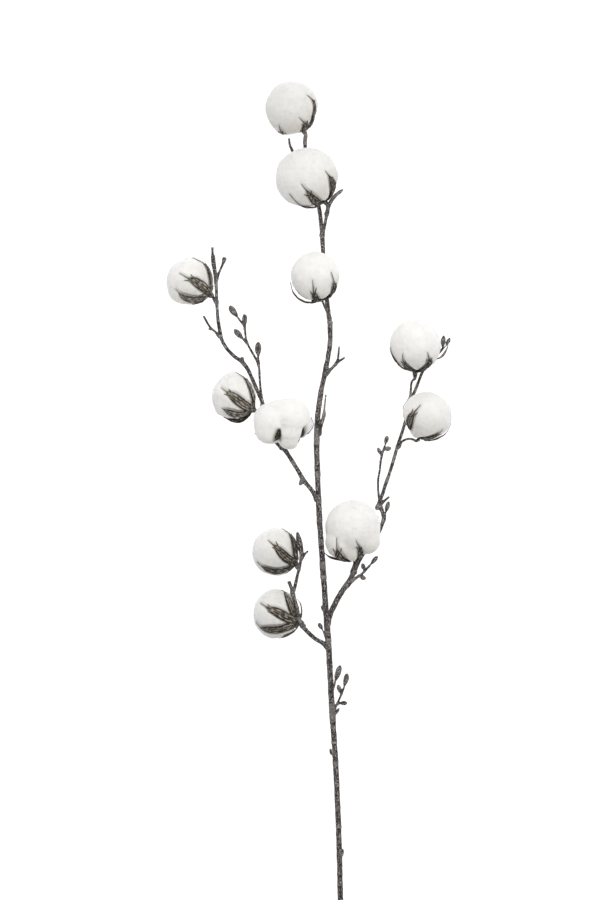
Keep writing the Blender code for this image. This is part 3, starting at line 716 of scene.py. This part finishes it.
def lint(boll, finish):
    """The cotton: soft locks with furrows where the bracts clasp them, and loose fibres."""
    name = f"lint_{boll.name}"
    seed = boll.number * 40
    ball = bmesh.new()
    bmesh.ops.create_icosphere(ball, subdivisions=6, radius=1.0)
    mesh = bpy.data.meshes.new(name)
    ball.to_mesh(mesh)
    ball.free()
    directions = unit(vertex_rows(mesh, "co"))
    press = bract_press(boll, directions)
    places = boll.world(directions * lint_radius(directions, boll)[:, None])
    out = boll.normals(directions)
    swirled = places + noise_vectors(places / 9, seed) * 5
    height = 0.55 * noise(places / 13, seed + 7) + 0.25 * noise(places / 6, seed + 8)
    ridge = 1 - np.abs(noise(swirled / 3.4, seed + 11)) * 2
    height += 0.12 * ridge + 0.1 * noise(swirled / 1.6, seed + 12)
    height = height * (1 - 0.6 * np.minimum(press, 1)) - PRESS_DEPTH * press
    places = floor_clear(places + out * (height + boll.swell(out))[:, None])
    set_coordinates(mesh, places)
    skin = vertex_rows(mesh, "normal")
    faces = np.empty(len(mesh.polygons) * 3, np.int32)
    mesh.polygons.foreach_get("vertices", faces)
    faces = faces.reshape(-1, 3)
    soup = Soup()
    # Painted shade on the lint near the bracts and on its more shaded side towards the bur.
    low = 1 - smoothstep(35, 125, pole_angle(directions))
    packed = np.clip(np.maximum(press, boll.dusk * low), 0, 1)
    # The darkest painted shade goes where the lint is pressed deepest, round the bracts that lie in
    # it.
    soup.add(places, faces, packed=packed, tint=np.full(len(places), boll.tint),
             stain=smoothstep(0.9, 2.3, press))
    fibres(boll, soup, places, skin, faces, press, seed)
    bpy.data.meshes.remove(mesh)
    piece(name, soup.mesh(name), finish, [f"cotton_{boll.name}"])


FIBRES = 1700
LONG_SHARE = 0.14  # of the fibres
FIBRE_STEPS = 3


def fibres(boll, soup, places, skin, faces, press, seed):
    """Loose cotton fibres that curl off the lint: thin three-sided tapering threads."""
    rng = np.random.default_rng(500 + seed)
    count = FIBRES
    picked = faces[rng.integers(0, len(faces), count)]
    weights = rng.dirichlet((1, 1, 1), count)
    root = np.einsum("nk,nkj->nj", weights, places[picked])
    out = unit(np.einsum("nk,nkj->nj", weights, skin[picked]))
    packed = (weights * press[picked]).sum(axis=1)
    field = noise_vectors(root / 7, seed + 20)
    along = unit(np.cross(out, unit(field + rng.normal(0, 0.25, (count, 3)))))
    is_long = rng.random(count) < LONG_SHARE
    length = np.where(is_long, rng.uniform(4.5, 8, count), rng.uniform(2, 4.2, count))
    length *= 1 - 0.5 * packed
    rise = np.where(is_long, rng.uniform(0.25, 0.8, count), rng.uniform(0.15, 0.75, count))
    heading = unit(along + out * rise[:, None])
    aside = np.cross(out, along)
    curl = aside * rng.normal(0, 0.35, count)[:, None]
    spine = [root - out * 0.35]
    for _ in range(FIBRE_STEPS):
        spine.append(spine[-1] + heading * (length / FIBRE_STEPS)[:, None])
        heading = unit(heading + curl - out * 0.22)
    spine = floor_clear(np.stack(spine, axis=1).reshape(-1, 3)).reshape(count, -1, 3)
    thick = np.where(is_long, 0.075, 0.085)[:, None] * np.array([1.0, 0.9, 0.7])
    top = FIBRE_STEPS * 3
    threads = np.empty((count, top + 1, 3))
    for level in range(FIBRE_STEPS):
        for corner, (up, side) in enumerate(((1.0, 0.0), (-0.5, 0.87), (-0.5, -0.87))):
            off = (out * up + aside * side) * thick[:, level, None]
            threads[:, level * 3 + corner] = spine[:, level] + off
    threads[:, top] = spine[:, FIBRE_STEPS]
    pattern = tube_faces(np.arange(top).reshape(FIBRE_STEPS, 3))[:-1]
    pattern += [(top - 3 + c, top - 3 + (c + 1) % 3, top) for c in range(3)]
    size = top + 1
    faces = [tuple(i + n * size for i in face) for n in range(count) for face in pattern]
    soup.add(threads, faces, packed=np.repeat(packed * 0.3, size),
             tint=np.full(count * size, boll.tint))


# ---- stems

# A bud's outline: the share of its length, and the share of its radius there.
BUD_OUTLINE = ((0, 0.35), (0.14, 0.56), (0.32, 0.86), (0.55, 1), (0.76, 0.92), (0.91, 0.6),
               (1, 0.25))
# Growth rings and thickenings on the main stem, by their y: the place, the height and the width.
RINGS = ((173, 0.5, 1.1), (88, 0.2, 1), (20, 0.2, 1.2), (-46, 0.2, 1), (-82, 0.45, 1.6),
         (-233, 0.3, 0.9), (-248, 0.45, 1.3), (-333, 0.4, 1), (-380, 0.2, 1.2))


def bud(start, tip, radius):
    """The route of a drop-shaped bud from start to tip; its fifth number marks it as a bud."""
    start, tip = np.array(start, float), np.array(tip, float)
    return [(*(start + (tip - start) * share), radius * width, min(1.0, share * 4))
            for share, width in BUD_OUTLINE]


def receptacle(name, radius, head=3.2):
    """The last points of a stalk: it widens into a knob inside the bur's cup."""
    boll = BOLLS[name]
    return [(*boll.stalk_end(6.0), radius), (*boll.stalk_end(3.2), max(radius * 1.3, head * 0.6)),
            (*boll.stalk_end(1.0), head), (*boll.stalk_end(-1.2), head * 1.15)]


def knob(name):
    """The end of a stalk that is too short to widen slowly."""
    boll = BOLLS[name]
    return [(*boll.stalk_end(1.6), 2.5), (*boll.stalk_end(-1.2), 3.4)]


# Each table below holds the strands of one piece, which follow the CAD model's routes. A point is
# (x, y, z, radius), and one without a radius has that of the point before it. The first strand is
# the piece's main one, and the rest grow out of it or out of each other.
LOWER_ROUTES = [
    [(31.2, -412.4, 2.9, 2.75), (29.5, -345, 8), (26, -265, 15, 2.8), (22, -205, 20, 2.9),
     (19, -150, 24, 3), (16, -110, 26, 2.95), (13, -67, 27, 2.85), (10, -25, 27.5, 2.8),
     (8.3, 15, 27.5), (7.2, 49, 27), (8, 75, 26.5, 2.75), (11, 100, 25.5, 2.65),
     (16.4, 127, 24.5, 2.5), (20.3, 150, 23.5, 2.4), (20.6, 173, 22.5, 2.5)],
    [(16, 121, 24.5, 1.9), (22.5, 127, 25.2, 1.6), (27.5, 132, 25.8, 1.4),
     (35.4, 137.7, 25.5, 0.9)],
    [(26, 130, 25.6, 1.2), (28.4, 136, 26.2, 1.1), (29, 141, 26.6), (29.6, 148.5, 27.2, 0.95)],
    [(9, 60, 26.8, 1.9), (12.4, 72, 27.5, 1.7), (14.6, 81, 28), (14.8, 86, 28.5, 0.9),
     (15.4, 92, 29, 0.8), (16.4, 100.4, 30, 0.75)],
    [(18.2, -144, 24.3, 1.6), (14.2, -137, 26.3, 1.1),
     *bud((12.8, -134.5, 27), (9.3, -128, 28.2), 2)],
    [(20.8, -199, 20.7, 1.9), (24.6, -190.5, 25.4, 1.3),
     *bud((25.8, -186, 26.6), (30.8, -170, 27.6), 2.9)],
    [(22.3, -218, 19, 1.9), (27, -210.3, 20.2, 1.2), (31, -201.5, 21, 1.1),
     (34.2, -193.5, 21.6, 1.2), *bud((34.8, -191.5, 21.8), (37.8, -178.5, 22.8), 2.7)],
    [(27.6, -209, 20.3, 1.1), (29.6, -208.4, 20.7, 1),
     *bud((31, -208.2, 20.9), (37.6, -208, 21.6), 2.1)],
    [(31.8, -200, 21.2, 0.9), *bud((31.2, -198, 22), (28.4, -190, 23), 2)],
    [(14.8, -115, 26.5, 1.5), (12.6, -112.5, 27, 1), (11.3, -110.5, 27.6, 0.5)],
    [(31.5, -361, 7.5, 1.6), (33, -357.5, 8.5, 1.3), (33.6, -355, 9, 0.8)],
    [(23.5, -259, 16.5, 1.7), (21.5, -256.5, 17.5, 1.3), (20.6, -254, 18, 0.8)],
    [(24, -219, 19, 1.6), (28.4, -215.5, 19.5, 1.3), (29.6, -213.4, 19.8, 0.9)],
]
UPPER_ROUTES = [
    [(20.4, 171, 22.6, 2.2), (17.8, 192, 21), (15.2, 218, 18), (13.4, 247, 14),
     (11.8, 271, 10.5, 2.1), (9.6, 288, 8.2, 2.05), (5.2, 305, 6.6, 2), (-0.5, 322, 5.5, 1.9),
     (-3.9, 343, 5), (-4.4, 356, 4.6, 1.85), *receptacle('01', 1.8, 2.6)],
    [(0.5, 315, 6, 1.7), (-8, 329, 6, 1.35), (-16.5, 343.5, 7.2, 1.4), (-17.8, 346.5, 7.8, 1.6),
     (-19.5, 350.5, 8.5, 1.3), (-20.6, 357.5, 10, 0.95)],
    [(12.4, 259, 12.4, 2), (15.6, 272, 17.5, 1.6), (17.3, 282, 21.5, 1.7),
     *receptacle('02', 1.8, 2.6)],
    [(16.8, 280, 20.5, 1.6), (21.5, 293.5, 24, 1.8), (27, 300.5, 26, 1.7), (31.4, 303.8, 27.5, 1.4),
     (33.5, 305.6, 28.2, 0.8)],
    [(20, 176, 22.2, 1.8), (17, 184, 27, 1.15), (14.8, 189, 32, 1.1), (12.9, 193.2, 37, 1.2),
     (10.4, 196, 41, 1.6)],
]
LEFT_UPPER_ROUTES = [
    [(8.6, -5, 27.5, 2.6), (0.8, 6.8, 27.4, 2.2), (-5.7, 14.4, 27), (-10.4, 22.5, 26.5, 2.1),
     (-15.5, 31, 25.5), (-20.5, 39, 26.5), (-25.5, 46, 26.5, 2.2), (-32, 51.5, 25.5, 2),
     (-39, 61, 22, 1.9), (-43.5, 75, 20), (-46.6, 91, 20.5), (-51, 101.5, 22),
     (-57, 115.5, 25, 1.95), (-62.5, 127, 27.5, 2), (-67.5, 133, 29, 1.95),
     (-75, 138.5, 30.5, 1.85), (-82, 145.5, 31.5, 1.8), (-87, 153.5, 32.5, 1.75),
     (-89.5, 163.5, 33.5), (-91.2, 174, 34, 1.7), (-92.2, 185.5, 34.5, 1.65), (-92.7, 198, 35),
     (-93.3, 211.5, 36), (-94.4, 222, 37.5, 1.9), (-95.9, 233.5, 39.5, 2.3), (-96.3, 238.4, 40.5),
     (-96.55, 240.4, 41, 1.25), (-96.9, 247, 42.5, 1.45)],
    [(-89.5, 158, 33, 1.4), (-94.5, 163.3, 34.6, 1.1), (-98.3, 166.5, 35.5, 1.15),
     (-102, 172, 36.7, 1.2), (-105.8, 178.8, 38, 1.1)],
    [(-97, 166, 35.3, 0.9), (-99.4, 165.4, 35.6, 0.7), (-101.4, 166, 35.8, 0.4)],
    [(-93.4, 214, 36.4, 1.4), (-88.7, 225.8, 38.5, 1.2), (-86.2, 231.6, 39.6, 1.5),
     (-85.1, 235, 40.2, 2.1), (-84.6, 237.3, 40.6, 1.9)],
    [(-67, 132.5, 29, 1.5), (-67.2, 137.8, 32, 1.4)],
    [(-6.5, 15.5, 26.9, 1.8), (-9, 11.5, 26.6, 1.5), (-10, 10, 26.5, 1.1)],
    [(-46.5, 88, 20.3, 1.8), (-49, 106, 25.5, 1.3), (-49.8, 116, 29, 1.2), (-50.8, 129, 33),
     (-55.2, 138.7, 36), (-60, 147.3, 38.5), (-62.9, 153.5, 40), (-64, 161, 41.5, 1.1),
     (-64.9, 167.5, 43), (-69.5, 174.3, 44.5, 1),
     *bud((-72, 177.8, 45.3), (-79.7, 188.6, 47.5), 3.1)],
    [(-50.9, 130, 33.3, 1.2), (-51.1, 136, 35, 1),
     *bud((-51.2, 138, 35.6), (-51.2, 152.8, 38.5), 3)],
    [(-62, 151.5, 39.6, 1.1), (-65.4, 154.8, 40.6, 1),
     *bud((-66.4, 155.8, 41), (-75.2, 165.4, 42.5), 2.7)],
    [(-64.6, 165.5, 42.6, 0.9), (-64.4, 169, 43.4),
     *bud((-64.3, 170, 43.7), (-64.9, 180.6, 45.5), 2.6)],
    [(-92.6, 192, 34.7, 1.8), (-96.7, 197.8, 32, 1.5), *receptacle('04', 1.5)[2:]],
    [(-42.2, 70, 20, 1.8), (-49, 80, 26, 1.4), *receptacle('05', 1.4)[1:]],
    [(-28, 48, 26, 2.2), (-27, 47.8, 29.6, 2.4), *knob('06')],
]
LEFT_LOWER_ROUTES = [
    [(18.9, -152, 24, 2.6), (12.6, -147.6, 26, 2.2), (6.4, -144, 28, 2.15),
     (-1.2, -137.3, 34, 2.05), (-7, -130.5, 39, 2), (-10.9, -122.6, 42, 1.95),
     (-12.6, -113.5, 43, 1.9), (-14.4, -106, 43), (-16.3, -99, 42.5), (-14.4, -90.5, 41, 1.7),
     (-12.5, -82, 39.5, 1.6), (-10.6, -74, 38.5), (-8.7, -65, 37.5, 1.7), (-8.2, -57.5, 37, 2.3),
     (-9.5, -50.5, 37.5, 3.1), (-10.9, -43.5, 38.5, 2.7), (-11.8, -39.5, 39.5, 1.9),
     (-12.2, -37, 40, 1)],
    [(-16.4, -99.5, 42.6, 1.6), (-18, -93, 44, 1.65), (-20.7, -85.8, 46, 1.8)],
    [(-7.8, -63, 37.4, 1.3), (-5, -59, 38, 1.1), (-1.4, -55.7, 39, 0.9)],
    [(-10.3, -73, 38.4, 1.9), (-12.4, -71, 36.6, 2), *knob('10')],
    [(-5.5, -132, 37.8, 2), (-7.6, -129.6, 36, 2.2), *knob('11')],
]
RIGHT_ROUTES = [
    [(17.6, -130, 25.1, 2.6), (22, -116, 25, 2.7), (26.8, -106.3, 24.3, 2.75),
     (34.2, -94, 22.5, 2.7), (39.8, -86.2, 20.5, 2.5), (44.6, -76.8, 17.5, 2.3),
     (49.4, -66.6, 13, 2), (57.4, -54, 8.5, 1.9), (66, -43.5, 6.5), (72, -32, 6.5), (74.3, -23, 7),
     (72.7, -16, 8, 2), (70.2, -10.5, 9, 2.5), (71, -5, 9, 2), (73.5, 1.5, 8.5, 1.75), (75.7, 9, 8),
     (79.6, 20, 7.5, 1.7), (83.5, 32, 7, 1.65), (87.2, 45, 6.5), (89.8, 53.5, 6),
     (93.2, 63.5, 5.5, 1.6), (97.3, 78, 4.6), (101.6, 96, 5, 1.7), (105.5, 103.5, 5, 1.55),
     (108.7, 111.5, 4.8, 1.5), (112.5, 121.5, 4.4, 1.45), (118, 131, 4.6, 1.4),
     (124.5, 137, 6, 1.3), (130, 142.5, 9, 1.15),
     *bud((133.4, 147.6, 12.4), (134.4, 159.6, 19), 2.35)],
    [(130.5, 143.5, 9, 0.9), (134.8, 147.6, 10.6, 0.8),
     *bud((136.8, 149.6, 11.6), (140.7, 157.4, 16), 1.9)],
    [(74.2, -26, 7, 1.6), (75.6, -20, 8.6, 1.3), *bud((76.4, -17.6, 9.4), (79.3, -6.6, 12), 2.2)],
    [(71, -8.5, 9, 1.5), (75.5, -5.5, 12, 1.2), (80, -1.7, 15, 1)],
    [(70.5, -10.5, 9, 2.2), (67.6, -13.4, 9.8, 1.8), (66.4, -14.6, 10.2, 1.2)],
    [(70.6, -10, 9, 1.6), (69.6, -2.3, 13, 1.2), (68.7, 7, 14.5, 1.1), (68.9, 16, 15.5),
     (70.4, 25.2, 16.5), (71.4, 34.5, 17.5, 1.2), (72.9, 41, 18, 1.05), (75.1, 48.3, 19, 1),
     *bud((75.9, 50.6, 19.4), (78, 59.2, 20.5), 2.1)],
    [(72.4, 39, 17.9, 0.8), *bud((71, 41, 18.4), (68.5, 47.4, 19.5), 1.7)],
    [(74.2, 45, 18.6, 0.8), *bud((75.6, 45.5, 18.9), (81.5, 47.2, 20), 1.9)],
    [(36.5, -91.5, 21.7, 2), (45.5, -83.7, 24.2, 1.5), (52.5, -78.7, 25.5, 1.3),
     (57.5, -73.5, 26.5, 1.2), (60.4, -70.2, 27),
     *bud((61.2, -69.3, 27.2), (68.2, -61, 28.5), 2.2)],
    [(49.4, -80.6, 25, 0.9), *bud((50.8, -81.3, 25.5), (56.2, -84, 26.5), 2)],
    [(54.8, -76.4, 26, 0.9), *bud((54.4, -74.6, 26.8), (52.8, -68.4, 28.5), 1.9)],
    [(101, 93.5, 5, 1.7), (101.5, 104, 9.5, 1.2), (102.6, 113.5, 12.5, 1.15),
     *receptacle('07', 1.8, 2.5)],
    [(88.3, 48, 6.3, 1.7), (93.5, 54, 10, 1.3), (99.5, 56.2, 15, 1.2), (103.5, 55.6, 19.5, 1.3),
     (107.2, 54.2, 24, 1.5), (109.4, 56, 26, 1.9)],
    [(44, -78.5, 17.7, 2.5), (44.6, -73.5, 19.2, 2.4), *receptacle('09', 2.2)[1:]],
]

# Each stem piece: the CAD nodes that it stands for, and its strands.
STEMS = {
    "stem_lower": (["main_stem_lower", "forked_spur", "thin_spur", "small_bud", "tall_bud",
                    "bud_cluster"], LOWER_ROUTES),
    "stem_upper": (["main_stem_upper", "tip_shoot", "stalk_02", "stalk_03"], UPPER_ROUTES),
    "twigs_left_upper": (["left_upper_branch", "left_bud_twig", "stalk_04", "stalk_05",
                          "stalk_06"], LEFT_UPPER_ROUTES),
    "twigs_left_lower": (["left_lower_branch", "stalk_10", "stalk_11"], LEFT_LOWER_ROUTES),
    "twigs_right": (["right_branch", "right_bud_twig", "centre_bud_twig", "stalk_07", "stalk_08",
                     "stalk_09"], RIGHT_ROUTES),
}

STRAND_STEP = 0.6
TUBE_SIDES = 14
VOXEL = 0.58  # the cell in which strands are fused
NEAREST_BLOCK = 4000  # places compared at once, which bounds the memory
CUT_END = -411.6  # below this y, what faces along the stem is its cut end


class Strand:
    """A smooth tube along a route: its middle line, its frame and its radius at short steps.

    One that `grows` out of another strand is thicker where it starts.
    """

    def __init__(self, route, grows):
        rows = []
        for point in route:
            radius = point[3:] or rows[-1][3:4]
            rows.append((*point[:3], *radius, 0.0)[:5])
        rows = np.array(rows, float)
        chord = lengths(rows[:, :3])
        slope = np.gradient(rows, chord, axis=0)
        self.along = np.linspace(0, chord[-1], max(int(chord[-1] / STRAND_STEP), 4))
        at = np.searchsorted(chord, self.along, side="right") - 1
        at = np.clip(at, 0, len(rows) - 2)
        span = (chord[at + 1] - chord[at])[:, None]
        t = (self.along - chord[at])[:, None] / span
        fine = (rows[at] * (2 * t**3 - 3 * t**2 + 1) + rows[at + 1] * (3 * t**2 - 2 * t**3)
                + span * (slope[at] * (t**3 - 2 * t**2 + t) + slope[at + 1] * (t**3 - t**2)))
        self.middle = fine[:, :3]
        self.bud = np.clip(fine[:, 4], 0, 1)
        ends = rows[at, 3], rows[at + 1, 3]
        self.radius = np.clip(fine[:, 3], np.minimum(*ends), np.maximum(*ends))
        if grows:
            self.radius = self.radius * (1 + 0.4 * bell(np.maximum(self.along - 2, 0) / 3.2))
        self.heading = unit(np.gradient(self.middle, axis=0))
        sides = [unit(np.cross(self.heading[0], (0.3, 0.2, 0.9)))]
        for heading in self.heading[1:]:
            sides.append(unit(sides[-1] - heading * (sides[-1] @ heading)))
        self.side = np.array(sides)
        self.other = np.cross(self.heading, self.side)

    def tube(self):
        """The tube's places and faces, with both ends closed."""
        turn = (np.arange(TUBE_SIDES) * math.tau / TUBE_SIDES)[None, :, None]
        ring = self.side[:, None] * np.cos(turn) + self.other[:, None] * np.sin(turn)
        places = self.middle[:, None] + ring * self.radius[:, None, None]
        order = np.arange(len(self.middle) * TUBE_SIDES).reshape(-1, TUBE_SIDES)
        return places, tube_faces(order)


def joined_skin(name, strands):
    """One closed mesh round all strands, fused where they meet."""
    soup = Soup()
    for strand in strands:
        soup.add(*strand.tube())
    raw = soup.mesh(name + "_raw")
    obj = placed(name, raw)
    remesh = obj.modifiers.new("fuse", "REMESH")
    remesh.mode, remesh.voxel_size = "VOXEL", VOXEL
    soft = obj.modifiers.new("soften", "SMOOTH")
    soft.factor, soft.iterations = 0.5, 4
    graph = bpy.context.evaluated_depsgraph_get()
    made = bpy.data.meshes.new_from_object(obj.evaluated_get(graph))
    made.name = name
    bpy.data.objects.remove(obj)
    bpy.data.meshes.remove(raw)
    return made


def stem_places(places, strands):
    """For each place: its strand's values and number, and where it is by a straight strand."""
    middle = np.concatenate([s.middle for s in strands])
    radius = np.concatenate([s.radius for s in strands])
    nearest = np.empty(len(places), int)
    for start in range(0, len(places), NEAREST_BLOCK):
        block = places[start:start + NEAREST_BLOCK]
        apart = np.linalg.norm(block[:, None] - middle[None], axis=2) - radius
        nearest[start:start + NEAREST_BLOCK] = apart.argmin(axis=1)
    gather = {key: np.concatenate([getattr(s, key) for s in strands])[nearest]
              for key in ("middle", "heading", "side", "other", "along", "radius", "bud")}
    number = np.concatenate([np.full(len(s.middle), n) for n, s in enumerate(strands)])[nearest]
    away = places - gather["middle"]
    grain = np.stack([(away * gather[key]).sum(axis=1) for key in ("side", "other", "heading")],
                     axis=1)
    grain[:, 2] += gather["along"]
    return gather, number, grain


def stem(name, nodes, routes, joints, finish):
    """A piece of stem with bark relief, growth rings, swollen nodes and grooved buds."""
    is_twig = name.startswith("twigs")
    strands = [Strand(route, grows=n > 0 or is_twig) for n, route in enumerate(routes)]
    mesh = joined_skin(name, strands)
    places = vertex_rows(mesh, "co")
    skin = vertex_rows(mesh, "normal")
    gather, number, grain = stem_places(places, strands)
    wood = 1 - gather["bud"]
    seed = len(name) * 13
    slim = np.clip(gather["radius"] / 2.4, 0.45, 1)
    at = grain + number[:, None] * (0.0, 0.0, 57.0)
    height = 0.22 * noise(at * (0.85, 0.85, 0.14), seed)
    height += 0.2 * noise(at * (0.3, 0.3, 0.22), seed + 1)
    height += 0.13 * noise(at * (1.3, 1.3, 0.7), seed + 2)
    height *= slim
    scar = noise(at[:, [2, 0, 1]] * (0.09, 0, 0), seed + 3)
    height += 0.16 * smoothstep(0.5, 0.75, scar) * slim
    frost = 0.5 * smoothstep(0.55, 0.8, scar)
    for joint, thick in joints:
        near = np.exp(-((places - joint) ** 2).sum(axis=1) / (2 * (thick + 0.4) ** 2))
        height += 0.3 * near * wood
        frost = np.maximum(frost, 0.55 * near * wood)
    if name == "stem_lower":
        for ring, tall, wide in RINGS:
            near = bell((places[:, 1] - ring) / wide) * (number == 0)
            below = bell((places[:, 1] - ring + 2 * wide) / wide) * (number == 0)
            height += tall * near - 0.35 * tall * below
            frost = np.maximum(frost, near * min(1.0, tall * 2))
    turn = np.arctan2(grain[:, 1], grain[:, 0])
    scale = np.abs(np.cos(turn * 2.5 + 0.25 * noise(at * 0.4, seed + 4)))
    groove = 0.3 * (scale**0.5 - 0.75) + 0.12 * noise(at * 0.9, seed + 5)
    height += gather["bud"] * groove
    frost = np.maximum(frost, gather["bud"] * 0.5 * smoothstep(0.75, 1.0, scale))
    endwise = np.abs((skin * gather["heading"]).sum(axis=1))
    cut = (places[:, 1] < CUT_END) & (endwise > 0.7)
    height[cut] = 0.08 * noise(places[cut] * 1.5, seed + 6)
    set_coordinates(mesh, floor_clear(places + skin * (height + 0.05)[:, None]))
    store(mesh, "grain_at", at)
    store(mesh, "frost", frost)
    store(mesh, "cut", cut.astype(float))
    piece(name, mesh, finish, nodes)


# ---- floor, light and camera

FLOOR_HALF = 30.0
FLOOR_GLOW = 1.02
SKY_STRENGTH = 0.35
LAMP_PLACE = (0.3, 1.08, 2.6)
LAMP_SIZE, LAMP_POWER = 2.0, 63
CAMERA_PLACE = (-0.010, 0.045, 6.025)


def stage():
    """A pale floor that glows a little, so that shadows on it stay faint."""
    mesh = bpy.data.meshes.new("floor")
    corners = [(x * FLOOR_HALF, y * FLOOR_HALF, 0) for x, y in ((-1, -1), (1, -1), (1, 1), (-1, 1))]
    mesh.from_pydata(corners, [], [(0, 1, 2, 3)])
    made = Finish("floor", Roughness=0.9, Specular_IOR_Level=0.0, Emission_Strength=FLOOR_GLOW,
                  Emission_Color=WHITE, Base_Color=tone(124, 124, 124))
    mesh.materials.append(made.material)
    placed("floor", mesh)


def lights():
    """A dim white surround, and one large soft panel that faces the object."""
    world = bpy.data.worlds.new("studio")
    bpy.context.scene.world = world
    world.use_nodes = True
    background = world.node_tree.nodes["Background"]
    background.inputs["Color"].default_value = WHITE
    background.inputs["Strength"].default_value = SKY_STRENGTH
    data = bpy.data.lights.new("key", "AREA")
    data.shape, data.size, data.energy = "SQUARE", LAMP_SIZE, LAMP_POWER
    data.color = (1.0, 0.985, 0.965)
    light = placed("key", data)
    light.location = LAMP_PLACE
    light.rotation_euler = (-Vector(LAMP_PLACE)).to_track_quat("-Z", "Y").to_euler()
    bpy.context.scene.view_settings.view_transform = "Standard"


def camera():
    """Straight above the stem, far enough back that it is seen almost without perspective."""
    data = bpy.data.cameras.new("camera")
    data.sensor_width, data.lens, data.clip_end = 36, 240, 100
    obj = placed("camera", data)
    obj.location = CAMERA_PLACE
    bpy.context.scene.camera = obj


def main():
    camera()
    stage()
    lights()
    bark, bur_skin, cotton = bark_finish(), bur_finish(), lint_finish()
    starts = [route[0] for _, routes in STEMS.values() for route in routes]
    # The first start is the cut end, and the bark swells a little at each of the others.
    joints = [(np.array(start[:3]), start[3]) for start in starts[1:]]
    for name, (nodes, routes) in STEMS.items():
        stem(name, nodes, routes, joints, bark)
    for boll in BOLLS.values():
        bur(boll, bur_skin)
        lint(boll, cotton)


main()
